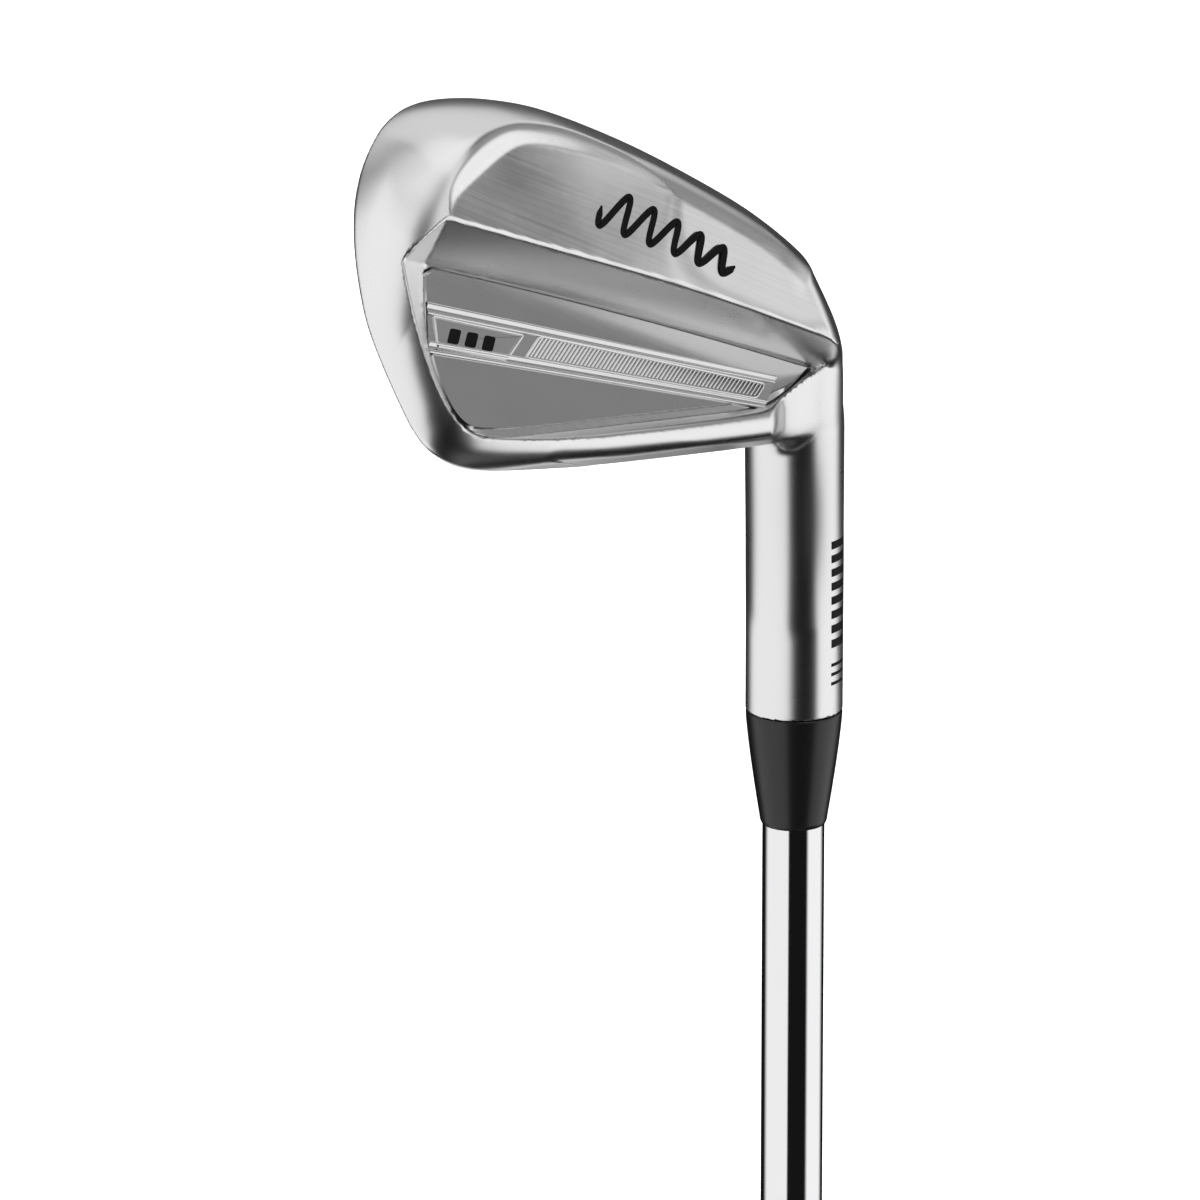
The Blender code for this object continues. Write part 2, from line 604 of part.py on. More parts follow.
plug_r = TIP_DIA / 2 - SHAFT_WALL - 0.05
lathe("tip_plug", [(0, tip_z - 0.5), (plug_r, tip_z - 0.5), (plug_r, tip_z - 14.0),
                   (plug_r - 0.6, tip_z - 15.0), (0, tip_z - 15.0)], steps=24, mat=BRASS)

band_r = BUTT_DIA / 2 + 0.05
lathe("shaft_band", [(band_r + 0.1, BAND_Z + BAND_WIDTH), (band_r + 0.1, BAND_Z),
                     (band_r, BAND_Z), (band_r, BAND_Z + BAND_WIDTH)], mat=BAND_FILM)

# ---------------------------------------------------------------- grip

tape_in = BUTT_DIA / 2 + 0.04
tape_out = GRIP_BORE_DIA / 2 - 0.04
lathe("grip_tape", [(tape_out, GRIP_LENGTH - 6), (tape_out, 5.0), (tape_in, 5.0),
                    (tape_in, GRIP_LENGTH - 6)], mat=TAPE)

grip_outer = [(GRIP_MOUTH_DIA / 2 - 0.3, GRIP_LENGTH), (GRIP_MOUTH_DIA / 2, GRIP_LENGTH - 0.6),
              (GRIP_MOUTH_DIA / 2, GRIP_LENGTH - 3.5), (GRIP_MOUTH_DIA / 2 - 0.35, GRIP_LENGTH - 4)]
for z, radius in GRIP_TAPER:
    grip_outer.append((radius, z))
grip_outer += [(GRIP_BUTT_DIA / 2, CAP_THICK + 2.0), (GRIP_BUTT_DIA / 2, CAP_THICK + 0.05)]
grip_bore = GRIP_BORE_DIA / 2
lathe("grip_sleeve", grip_outer + [(grip_bore, CAP_THICK + 0.05), (grip_bore, GRIP_LENGTH)],
      mat=RUBBER)

cap_r = GRIP_BUTT_DIA / 2
lathe("grip_cap", [(cap_r, CAP_THICK), (cap_r, 1.6), (cap_r - 0.5, 0.7), (cap_r - 1.6, 0.15),
                   (cap_r - 2.6, 0.0), (VENT_DIA / 2, 0.0), (VENT_DIA / 2, CAP_THICK)],
      mat=CAP_RUBBER)
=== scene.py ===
"""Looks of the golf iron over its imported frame: fine meshes, materials, light and camera.

The head is worked out in millimetres, either as (a, f, u) from the point where the shaft
axis meets the ground (a to the toe, f to the target, u up), or in face coordinates (x to the
toe, y up the face, z into the head behind the face). Everything made is in metres.
"""
import math

import bmesh
import bpy
import numpy as np
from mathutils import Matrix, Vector


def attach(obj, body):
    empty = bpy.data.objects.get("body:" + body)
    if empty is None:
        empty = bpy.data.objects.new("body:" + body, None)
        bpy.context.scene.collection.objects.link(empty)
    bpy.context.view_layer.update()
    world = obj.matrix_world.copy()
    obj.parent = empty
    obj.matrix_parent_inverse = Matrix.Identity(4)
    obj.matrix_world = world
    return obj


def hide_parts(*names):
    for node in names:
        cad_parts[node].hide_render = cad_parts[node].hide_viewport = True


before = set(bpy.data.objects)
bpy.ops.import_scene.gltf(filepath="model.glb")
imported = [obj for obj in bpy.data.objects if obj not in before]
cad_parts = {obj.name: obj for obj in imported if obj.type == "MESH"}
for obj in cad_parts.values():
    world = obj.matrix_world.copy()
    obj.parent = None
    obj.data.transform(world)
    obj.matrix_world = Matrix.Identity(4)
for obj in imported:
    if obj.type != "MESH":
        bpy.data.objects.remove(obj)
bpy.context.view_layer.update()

MM = 0.001

# ---------------------------------------------------------------- dimensions, mm

CLUB_LENGTH = 940.0
LIE = math.radians(63.0)
LOFT = math.radians(34.0)
FACE_FORWARD = 4.5
FACE_RAISE = 3.0
SIN_LIE, COS_LIE = math.sin(LIE), math.cos(LIE)
SIN_LOFT, COS_LOFT = math.sin(LOFT), math.cos(LOFT)

HOSEL_RADIUS = 7.02
HOSEL_LENGTH = 73.25
BORE_RADIUS = 4.71
BORE_DEPTH = 32.0
TIP_RADIUS = 4.51

# Head outside
SOLE_CAMBER = 26.0                       # radius of the sole from face to back
SOLE_LOW_F = -5.0
SOLE_ROUND = 1.9
BACK_Z0 = 19.2                           # the back plane: z = BACK_Z0 - BACK_SLOPE y
BACK_SLOPE = 0.25
TOPLINE_THICK = 6.8
FACE_ROUND = 1.2
RIM_ROUND, RIM_ROUND_TOE = 3.0, 8.5      # along the topline, and round the toe
TOE_FROM, TOE_OVER = 42.0, 26.0          # the rounding grows over this stretch of x
CURVE_SHIFT = 0.08                       # takes back what the blending adds to a curved outline
HEEL_TURN = math.radians(25)             # the way the heel side of the blade faces
HEEL_IN = 1.6                            # how far it stays inside the hosel's side
HEEL_ROUND = 2.0
HEEL_BEND_FROM = 21.0                    # below this height it curves in
HEEL_BEND = 75.0
SIDE_TURN = math.radians(30)             # the fillets at the heel end flush with the hosel here
SIDE_ROUND = 0.6

# Hosel and the neck that joins it to the blade. Heights are along the shaft axis.
MOUTH_ROUND = 0.4
NECK_TURN = math.radians(33)             # the neck leans back to the blade, this far to the toe
NECK_LEAN = 8.2
NECK_FROM, NECK_TO = 20.0, 62.0          # it comes back to the axis between these heights
NECK_BLEND = 0.2                         # fillet between neck and hosel per mm of lean
CROTCH_ROUND = (1.4, 6.0)                # fillet of blade and neck, at the heel and at the toe side
CROTCH_OVER = 7.0
FLUSH_UNDER = 0.8                        # the blade is trimmed this far under the neck's surface
FLUSH_BELOW = 22.0                       # and may stand out from it below this height
FLUSH_RUN = (9.0, 12.0)                  # mm^2 per mm gained: downwards, and towards the toe
FLUSH_FACE = 3.0                         # mm gained per mm towards the face
FLUSH_ROUND = 2.2

OUTLINE = [
    (-22.0, 23.5), (-8.0, 31.0), (4.5, 37.2), (17.5, 43.2), (30.0, 48.8), (42.5, 53.9),
    (50.0, 56.7), (55.0, 57.8), (59.5, 57.2), (62.8, 54.8), (66.0, 50.6), (69.0, 46.0),
    (71.6, 41.0), (73.4, 35.5), (74.5, 30.0), (74.9, 24.5), (74.5, 18.0), (73.0, 10.0),
    (70.3, 0.0), (66.0, -12.0),
]
SOLE_LINE = [
    (-45.0, 52.0), (-22.5, 25.2), (-16.0, 18.4), (-10.4, 14.1), (-5.5, 10.2), (-2.15, 7.45),
    (2.9, 4.4), (12.1, 2.05), (22.0, 0.85), (35.0, 0.1), (48.0, 0.4), (56.0, 1.8), (62.0, 3.9),
    (66.7, 6.5), (69.9, 9.4), (72.6, 13.3), (74.6, 17.8), (76.8, 25.0), (80.0, 50.0),
]

# Pocket behind the face: a ledge on the muscle's side, and walls from the toe back along the
# topline. Each corner of the walls also says how far the wall leans out per mm of z.
PLATE_Z = 5.3
PLATE_SEAT = 3.9
PLATE_GAP = 0.25
POCKET_ROUND = 0.34
POCKET_CORNER = 0.25
TOE_WALLS = 34                           # walls from the ledge to the top of the toe
WALL_FOOT = [
    (65.4, 33.2, 3.8), (65.2, 39.0, 2.1), (63.7, 45.2, 1.7), (61.3, 50.0, 1.5),
    (58.0, 53.6, 1.3), (53.2, 54.3, 1.1), (43.8, 50.3, 1.15), (26.6, 42.3, 1.15),
    (8.8, 34.2, 0.9), (2.6, 30.8, 0.5), (-4.0, 22.8, 0.3),
]
LEDGE = (23.0, 0.1012, 0.000551)         # y of the ledge's foot = c0 + c1 x + c2 x^2
LEDGE_ENDS = (-4.0, 63.9)                # x
LEDGE_LEAN = (0.06, 0.0085)              # how far it leans per mm of z, rising towards the toe
LEDGE_ROUND = 0.45
LEDGE_SPARE = 0.35                       # left on the ledge by the topline's cut, for the pocket's
FACET_POINT = (68.5, 28.9, 12.2)         # small facet at the ledge's toe end
FACET_NORMAL = (-0.505, 0.69, 0.515)
FACET_ROUND = 0.15

# Brushed muscle, hollowed into the back between the sole and the ledge
MUSCLE_EDGE = [
    (70.5, 44.0), (69.6, 36.0), (68.5, 28.9), (67.4, 24.2), (65.0, 20.7), (60.2, 14.8),
    (55.9, 11.5), (49.3, 9.9), (40.6, 9.5), (25.0, 10.6), (12.3, 12.0), (0.0, 14.6),
    (-20.0, 20.5),
]
MUSCLE_Z = 12.3
MUSCLE_PIVOT_Y = 27.0
MUSCLE_SLOPES = (0.31, 0.06)             # at the heel and at the toe
MUSCLE_TWIST = (18.0, 46.0)              # x where the slope starts to change, and over how far
MUSCLE_DROP = (8.0, 2500.0)              # falls away towards the heel by (8 - x)^3 / 2500
BANK_SLOPE = 0.9                         # of the bank round the muscle
BANK_ROUND = 1.0
CREST_ROUND = (0.1, 2.5)                 # top of the bank, least and most

# Seat of the face insert
INSERT_DEPTH = 2.3
INSERT_EDGE = [
    (9.0, 4.5), (22.0, 2.5), (36.0, 2.0), (50.0, 2.6), (60.0, 5.2), (67.0, 10.5), (70.2, 18.0),
    (71.0, 26.0), (70.2, 34.0), (67.0, 43.0), (61.8, 50.6), (57.0, 53.8), (52.0, 53.8),
    (41.0, 49.6), (28.0, 44.2), (14.0, 37.6), (9.0, 35.0),
]

CELL = 0.44
COARSE = 4                               # cells per step of the rough grid


# ---------------------------------------------------------------- coordinates

def address_to_row(p):
    """(a, f, u) in mm to the row frame in metres."""
    a, f, u = np.asarray(p, float).T
    return np.stack([-a * SIN_LIE - u * COS_LIE, f, CLUB_LENGTH + a * COS_LIE - u * SIN_LIE], 1) * MM


def face_to_row(p):
    """(x, y, z) in face coordinates to the row frame in metres."""
    x, y, z = np.asarray(p, float).T
    f = FACE_FORWARD - SIN_LOFT * y - COS_LOFT * z
    u = FACE_RAISE + COS_LOFT * y - SIN_LOFT * z
    return address_to_row(np.stack([x, f, u], 1))


def row_to_address(p):
    """The row frame in metres to columns a, f, u in mm."""
    across, f, up = (np.asarray(p, float) / MM - (0, 0, CLUB_LENGTH)).T
    return -across * SIN_LIE + up * COS_LIE, f, -across * COS_LIE - up * SIN_LIE


def face_coordinates(f, u):
    """Height up the face and depth behind it, y and z."""
    y = -SIN_LOFT * (f - FACE_FORWARD) + COS_LOFT * (u - FACE_RAISE)
    z = -COS_LOFT * (f - FACE_FORWARD) - SIN_LOFT * (u - FACE_RAISE)
    return y, z


# ---------------------------------------------------------------- head as a field

def spline(points, per_span):
    """Catmull-Rom curve through the points."""
    p = np.array([points[0]] + points + [points[-1]], float)
    t = np.linspace(0, 1, per_span, endpoint=False)[:, None]
    spans = []
    for a, b, c, d in zip(p, p[1:], p[2:], p[3:]):
        spans.append(0.5 * (2 * b + (c - a) * t + (2 * a - 5 * b + 4 * c - d) * t * t
                            + (3 * b - a - 3 * c + d) * t ** 3))
    return np.vstack(spans + [p[-1:]])


def soft_max(d, sharp):
    """Largest value of each row, blended where values are close."""
    top = d.max(1)
    return top + np.log(np.exp(sharp * (d - top[:, None])).sum(1)) / sharp


def convex_field(points, per_span, sharp=20.0):
    """Distance to a smooth convex boundary, negative on its right-hand side."""
    curve = spline(points, per_span) if per_span > 1 else np.array(points, float)
    edge = np.diff(curve, axis=0)
    normal = np.stack([-edge[:, 1], edge[:, 0]], 1) / np.hypot(edge[:, 0], edge[:, 1])[:, None]
    normal = normal.astype(np.float32)
    offset = (normal * curve[:-1]).sum(1).astype(np.float32)
    return lambda p, q: soft_max(p[:, None] * normal[:, 0] + q[:, None] * normal[:, 1] - offset,
                                 sharp)


def round_and(a, b, r):
    """Intersection of two fields with a rounded edge."""
    return np.minimum(-r, np.maximum(a, b)) + np.hypot(np.maximum(a + r, 0), np.maximum(b + r, 0))


def round_or(a, b, r):
    """Union of two fields with a fillet."""
    return -round_and(-a, -b, r)


def smooth_step(t):
    t = np.clip(t, 0.0, 1.0)
    return t * t * (3 - 2 * t)


def round_corners(points, times):
    """Open line with its corners cut a quarter of the way, each time."""
    line = np.array(points, float)
    for _ in range(times):
        near = line[:-1] * 0.75 + line[1:] * 0.25
        far = line[:-1] * 0.25 + line[1:] * 0.75
        middle = np.stack([near, far], 1).reshape(-1, line.shape[1])
        line = np.vstack([line[:1], middle[1:-1], line[-1:]])
    return line


WALLS = round_corners(WALL_FOOT, 3)
LEDGE_X = np.linspace(*LEDGE_ENDS, 24)
LEDGE_FOOT = np.column_stack([LEDGE_X, LEDGE[0] + LEDGE[1] * LEDGE_X + LEDGE[2] * LEDGE_X ** 2])
PLATE_RING = np.vstack([LEDGE_FOOT, WALLS[:-1, :2]])
rim_field = convex_field(OUTLINE, 8)
sole_field = convex_field(SOLE_LINE[::-1], 8)
muscle_edge_field = convex_field(MUSCLE_EDGE, 6, 6.0)
plate_field = convex_field(list(PLATE_RING[::-1]) + [PLATE_RING[-1]], 1, 12.0)
insert_field = convex_field([INSERT_EDGE[0]] + INSERT_EDGE[:0:-1] + [INSERT_EDGE[0]], 1, 8.0)


def ledge_field(x, y, z):
    """Negative on the pocket's side of the ledge under the muscle."""
    lean = LEDGE_LEAN[0] + LEDGE_LEAN[1] * x
    foot = LEDGE[0] + LEDGE[1] * x + LEDGE[2] * x * x
    return (foot - lean * (z - PLATE_Z) - y) / np.sqrt(1 + lean ** 2)


def pocket_walls(x, y, z):
    """Negative inside each of the leaning walls from the toe round to the heel."""
    walls = []
    for (x0, y0, lean0), (x1, y1, lean1) in zip(WALLS, WALLS[1:]):
        length, lean = math.hypot(x1 - x0, y1 - y0), (lean0 + lean1) / 2
        nx, ny = (y1 - y0) / length, (x0 - x1) / length
        out = (x - x0) * nx + (y - y0) * ny - PLATE_GAP - lean * (z - PLATE_Z)
        walls.append(out / math.hypot(1, lean))
    return np.stack(walls, 1)


def muscle_level(x, y):
    """Height of the brushed muscle over the face plane."""
    heel_slope, toe_slope = MUSCLE_SLOPES
    start, over = MUSCLE_TWIST
    slope = heel_slope + (toe_slope - heel_slope) * smooth_step((x - start) / over)
    drop_from, drop_scale = MUSCLE_DROP
    return (MUSCLE_Z + slope * (MUSCLE_PIVOT_Y - y)
            - np.maximum(drop_from - x, 0.0) ** 3 / drop_scale)


def back_level(y):
    return BACK_Z0 - BACK_SLOPE * y


def back_field(x, y, z):
    """Under the back plane and the hollow of the muscle."""
    plane = (z - back_level(y)) / math.hypot(1.0, BACK_SLOPE)
    over_muscle = z - muscle_level(x, y)
    bank = (muscle_edge_field(x, y) - BANK_SLOPE * over_muscle) / math.hypot(1.0, BANK_SLOPE)
    depth = back_level(y) - muscle_level(x, y)
    hollow = round_or(over_muscle, -bank, BANK_ROUND)
    return round_and(plane, hollow, np.clip(0.8 * depth, *CREST_ROUND))


def facet_field(x, y, z):
    return -sum(n * (v - c) for n, v, c in zip(FACET_NORMAL, (x, y, z), FACET_POINT))


def pocket_field(x, y, z, ledge, walls):
    """Room for the plate: leaning walls above it, and its own outline down to its seat."""
    leaning = round_and(ledge, facet_field(x, y, z), FACET_ROUND)
    leaning = round_and(leaning, soft_max(walls, 20.0), POCKET_CORNER)
    under = np.maximum(plate_field(x, y) - PLATE_GAP, ledge_field(x, y, PLATE_Z) - 0.03)
    return np.minimum(np.maximum(leaning, PLATE_Z - 0.3 - z),
                      np.maximum(under, PLATE_SEAT - 0.2 - z))


def blade_field(x, y, z, ledge, walls):
    """Blade from its back to its face, thin along the topline, before the pocket is cut."""
    toe_end = np.clip((x - TOE_FROM) / TOE_OVER, 0.0, 1.0)
    rim = rim_field(x, y) - CURVE_SHIFT
    blade = round_and(back_field(x, y, z), rim, RIM_ROUND + (RIM_ROUND_TOE - RIM_ROUND) * toe_end)
    above = round_and(ledge, facet_field(x, y, z), 0.1)
    above = round_and(above, soft_max(walls[:, :TOE_WALLS], 20.0), 0.1) + LEDGE_SPARE
    topline = round_and(z - TOPLINE_THICK, rim, RIM_ROUND)
    blade = round_and(blade, round_or(topline, -above, 0.05), LEDGE_ROUND)
    return round_and(blade, -z, FACE_ROUND)


def neck_lean(along):
    """How far the neck stands back from the shaft axis at a height along it."""
    return NECK_LEAN * smooth_step((NECK_TO - along) / (NECK_TO - NECK_FROM))


def head_field(p):
    """Outside of the head as a field, negative inside; p in mm, rows of (a, f, u)."""
    a, f, u = p.T
    y, z = face_coordinates(f, u)
    ledge = ledge_field(a, y, z)
    walls = pocket_walls(a, y, z)
    blade = blade_field(a, y, z, ledge, walls)

    along = u * SIN_LIE - a * COS_LIE
    beside = a * SIN_LIE + u * COS_LIE
    heel = -beside * math.cos(HEEL_TURN) - f * math.sin(HEEL_TURN)
    heel = heel + np.clip(HEEL_BEND_FROM - along, 0, 16) ** 2 / HEEL_BEND
    blade = round_and(blade, heel - HOSEL_RADIUS + HEEL_IN, HEEL_ROUND)

    lean = neck_lean(along)
    neck_f = f + lean * math.cos(NECK_TURN)
    neck_beside = beside - lean * math.sin(NECK_TURN)
    neck = np.hypot(neck_f, neck_beside) - HOSEL_RADIUS
    down, toewards = FLUSH_RUN
    room = np.clip(FLUSH_BELOW - along, 0, 24) ** 2 / down
    room = room + np.clip(neck_beside + 1.0, 0, 40) ** 2 / toewards
    room = room + FLUSH_FACE * np.clip(neck_f, 0, 20)
    blade = round_and(blade, neck + FLUSH_UNDER - room, FLUSH_ROUND)

    radial = np.hypot(f, beside)
    hosel = round_or(radial - HOSEL_RADIUS, neck, 0.001 + NECK_BLEND * lean)
    heel_fillet, toe_fillet = CROTCH_ROUND
    crotch = smooth_step(neck_beside / CROTCH_OVER)
    outside = round_or(blade, hosel, heel_fillet + (toe_fillet - heel_fillet) * crotch)
    side = -beside * math.cos(SIDE_TURN) - f * math.sin(SIDE_TURN) - HOSEL_RADIUS
    outside = np.minimum(round_and(outside, side, SIDE_ROUND), hosel)

    across = np.clip(np.abs(f - SOLE_LOW_F), 0.0, 0.95 * SOLE_CAMBER)
    sole = sole_field(a, u) - CURVE_SHIFT + SOLE_CAMBER - np.sqrt(SOLE_CAMBER ** 2 - across ** 2)
    outside = round_and(outside, sole, SOLE_ROUND)
    outside = round_and(outside, along - HOSEL_LENGTH, MOUTH_ROUND)

    outside = round_and(outside, -pocket_field(a, y, z, ledge, walls), POCKET_ROUND)
    seat = np.maximum(insert_field(a, y), z - INSERT_DEPTH)
    bore = np.maximum(radial - BORE_RADIUS, HOSEL_LENGTH - BORE_DEPTH - along)
    return np.maximum(np.maximum(outside, -seat), -bore)


def evaluate(field, points, block=20000):
    points = points.astype(np.float32)
    return np.concatenate([field(points[i:i + block]) for i in range(0, len(points), block)])


def value_and_gradient(field, points, step=0.08):
    """Field and gradient from four samples at the corners of a small tetrahedron."""
    total, g = 0.0, np.zeros_like(points)
    for corner in ((1, 1, 1), (1, -1, -1), (-1, 1, -1), (-1, -1, 1)):
        sample = evaluate(field, points + np.array(corner) * step)
        total = total + sample / 4
        g += sample[:, None] * corner
    return total, g / (4 * step)


def field_values(field, low, high, cell):
    """Field on a grid, worked out only near the surface; elsewhere only its sign is kept."""
    count = np.ceil((high - low) / (cell * COARSE)).astype(int)
    axes = [low[k] + (np.arange(count[k]) + 0.5) * cell * COARSE for k in range(3)]
    centres = np.stack(np.meshgrid(*axes, indexing="ij"), -1).reshape(-1, 3)
    rough = evaluate(field, centres).reshape(count)
    near = np.abs(rough) < 1.35 * cell * COARSE
    values = np.repeat(np.repeat(np.repeat(rough, COARSE, 0), COARSE, 1), COARSE, 2)
    wanted = np.repeat(np.repeat(np.repeat(near, COARSE, 0), COARSE, 1), COARSE, 2)
    index = np.argwhere(wanted)
    values[tuple(index.T)] = evaluate(field, low + (index + 0.5) * cell)
    return values


def surface_nets(field, low, high, cell):
    """Quads over the zero of a field: one vertex in each cell that the surface crosses."""
    v = field_values(field, low, high, cell)
    inside = v < 0
    corners = [(i, j, k) for i in (0, 1) for j in (0, 1) for k in (0, 1)]
    size = np.array(v.shape) - 1

    def part(array, c):
        return array[c[0]:c[0] + size[0], c[1]:c[1] + size[1], c[2]:c[2] + size[2]]

    count = sum(part(inside, c).astype(np.int8) for c in corners)
    cells = np.argwhere((count > 0) & (count < 8))
    total, number = np.zeros((len(cells), 3)), np.zeros(len(cells))
    for c in corners:
        for axis in range(3):
            if c[axis]:
                continue
            d = list(c)
            d[axis] = 1
            v0 = v[tuple((cells + c).T)]
            v1 = v[tuple((cells + d).T)]
            crossed = (v0 < 0) != (v1 < 0)
            t = np.where(crossed, v0 / np.where(crossed, v0 - v1, 1), 0)
            point = np.array(c, float) + t[:, None] * (np.array(d) - np.array(c))
            total += point * crossed[:, None]
            number += crossed
    verts = low + (cells + total / number[:, None] + 0.5) * cell
    name = -np.ones(size, int)
    name[tuple(cells.T)] = np.arange(len(cells))
    quads = []
    for axis in range(3):
        one = np.zeros(3, int)
        one[axis] = 1
        a, b = (axis + 1) % 3, (axis + 2) % 3
        along = [slice(None)] * 3
        ahead = [slice(None)] * 3
        along[axis], ahead[axis] = slice(0, -1), slice(1, None)
        flips = inside[tuple(along)] != inside[tuple(ahead)]
        edges = np.argwhere(flips)
        for side in (a, b):
            edges = edges[(edges[:, side] > 0) & (edges[:, side] < size[side])]
        ring = []
        for da, db in ((0, 0), (1, 0), (1, 1), (0, 1)):
            shift = edges.copy()
            shift[:, a] -= da
            shift[:, b] -= db
            ring.append(name[tuple(shift.T)])
        ring = np.stack(ring, 1)
        out = inside[tuple(edges.T)]
        ring[~out] = ring[~out][:, ::-1]
        quads.append(ring)
    return verts, np.vstack(quads)


def project(field, points, rounds=2):
    """Move points onto the zero of the field and return them with their normals."""
    for _ in range(rounds):
        d, g = value_and_gradient(field, points)
        step = np.clip(d / np.maximum((g * g).sum(1), 0.2), -0.3, 0.3)
        points = points - step[:, None] * g
    g = value_and_gradient(field, points)[1]
    return points, g / np.maximum(np.linalg.norm(g, axis=1), 1e-6)[:, None]


# ---------------------------------------------------------------- mesh helpers

def new_piece(name, verts, faces, normals=None, smooth=True):
    mesh = bpy.data.meshes.new(name)
    mesh.from_pydata([tuple(v) for v in verts], [], [tuple(f) for f in faces])
    mesh.polygons.foreach_set("use_smooth", [smooth] * len(mesh.polygons))
    if normals is not None:
        mesh.normals_split_custom_set_from_vertices([tuple(n) for n in normals])
    obj = bpy.data.objects.new(name, mesh)
    bpy.context.scene.collection.objects.link(obj)
    return obj


def turn_normals(n):
    """Directions in (a, f, u) to the row frame."""
    a, f, u = n.T
    return np.stack([-a * SIN_LIE - u * COS_LIE, f, a * COS_LIE - u * SIN_LIE], 1)


HEAD_LOW = np.array([-42.0, -34.0, -1.2])   # box round the head, (a, f, u)
HEAD_HIGH = np.array([76.8, 9.6, 75.6])


def make_head():
    verts, quads = surface_nets(head_field, HEAD_LOW, HEAD_HIGH, CELL)
    verts, normals = project(head_field, verts)
    obj = new_piece("head_shell", address_to_row(verts), quads, turn_normals(normals))
    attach(obj, "root")
    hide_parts("head_body")
    return obj


head = make_head()


def finish_mesh(name, verts_mm, faces, to_row, angle=35.0):
    """Piece from points in mm, shaded smooth except across edges sharper than the angle."""
    obj = new_piece(name, to_row(verts_mm), faces)
    bm = bmesh.new()
    bm.from_mesh(obj.data)
    bmesh.ops.remove_doubles(bm, verts=bm.verts, dist=1e-7)
    bmesh.ops.recalc_face_normals(bm, faces=bm.faces)
    bm.to_mesh(obj.data)
    bm.free()
    obj.data.set_sharp_from_angle(angle=math.radians(angle))
    return obj


def place(obj, slot, mat, *nodes):
    """Ride on the body, take a material, and stand for CAD nodes. The slot is not used."""
    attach(obj, "root")
    if nodes:
        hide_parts(*nodes)
    obj.data.materials.append(mat)
    return obj


def row_mm(p):
    return np.asarray(p, float) * MM


def rings_faces(rings, count, closed_ends=False, loop=False):
    """Quads between rings of the same count, with optional end caps or a join round."""
    faces = []
    last = rings if loop else rings - 1
    for n in range(last):
        for i in range(count):
            j = (i + 1) % count
            a, b = n * count, ((n + 1) % rings) * count
            faces.append((a + i, a + j, b + j, b + i))
    if closed_ends:
        faces.append(tuple(range(count))[::-1])
        faces.append(tuple(range((rings - 1) * count, rings * count)))
    return faces


def lathe(name, profile, steps=128, loop=True, ripple=None, angle=35.0):
    """Turned piece about the shaft axis from (radius, z) in mm."""
    turn = np.linspace(0, 2 * math.pi, steps, endpoint=False)
    rings = []
    for r, z in profile:
        radius = np.full(steps, r) if ripple is None else r + ripple(turn, z, r)
        rings.append(np.stack([radius * np.cos(turn), radius * np.sin(turn), np.full(steps, z)], 1))
    return finish_mesh(name, np.vstack(rings), rings_faces(len(rings), steps, not loop, loop),
                       row_mm, angle)


# ---------------------------------------------------------------- materials


class Nodes:
    """Short calls for building a node tree."""

    def __init__(self, tree):
        self.tree = tree

    def add(self, kind, *inputs, **settings):
        made = self.tree.nodes.new("ShaderNode" + kind)
        for key, value in settings.items():
            setattr(made, key, value)
        for socket, value in zip(made.inputs, inputs):
            if hasattr(value, "is_linked"):
                self.tree.links.new(value, socket)
            elif value is not None:
                socket.default_value = value
        return made

    def math(self, kind, *inputs):
        return self.add("Math", *inputs, operation=kind).outputs[0]

    def dot(self, a, b):
        return self.add("VectorMath", a, b, operation="DOT_PRODUCT").outputs["Value"]

    def noise(self, vector, scale, detail=3.0, roughness=0.5):
        made = self.add("TexNoise", vector)
        made.inputs["Scale"].default_value = scale
        made.inputs["Detail"].default_value = detail
        made.inputs["Roughness"].default_value = roughness
        return made.outputs["Fac"]

    def remap(self, value, low, high, to_low, to_high, kind="LINEAR"):
        made = self.add("MapRange", value, low, high, to_low, to_high, interpolation_type=kind)
        return made.outputs[0]


FACE_X = address_to_row([[1, 0, 0], [0, 0, 0]])
FACE_X = (FACE_X[0] - FACE_X[1]) / MM
FACE_Y = face_to_row([[0, 1, 0], [0, 0, 0]])
FACE_Y = (FACE_Y[0] - FACE_Y[1]) / MM
FACE_Z = np.cross(FACE_X, FACE_Y)


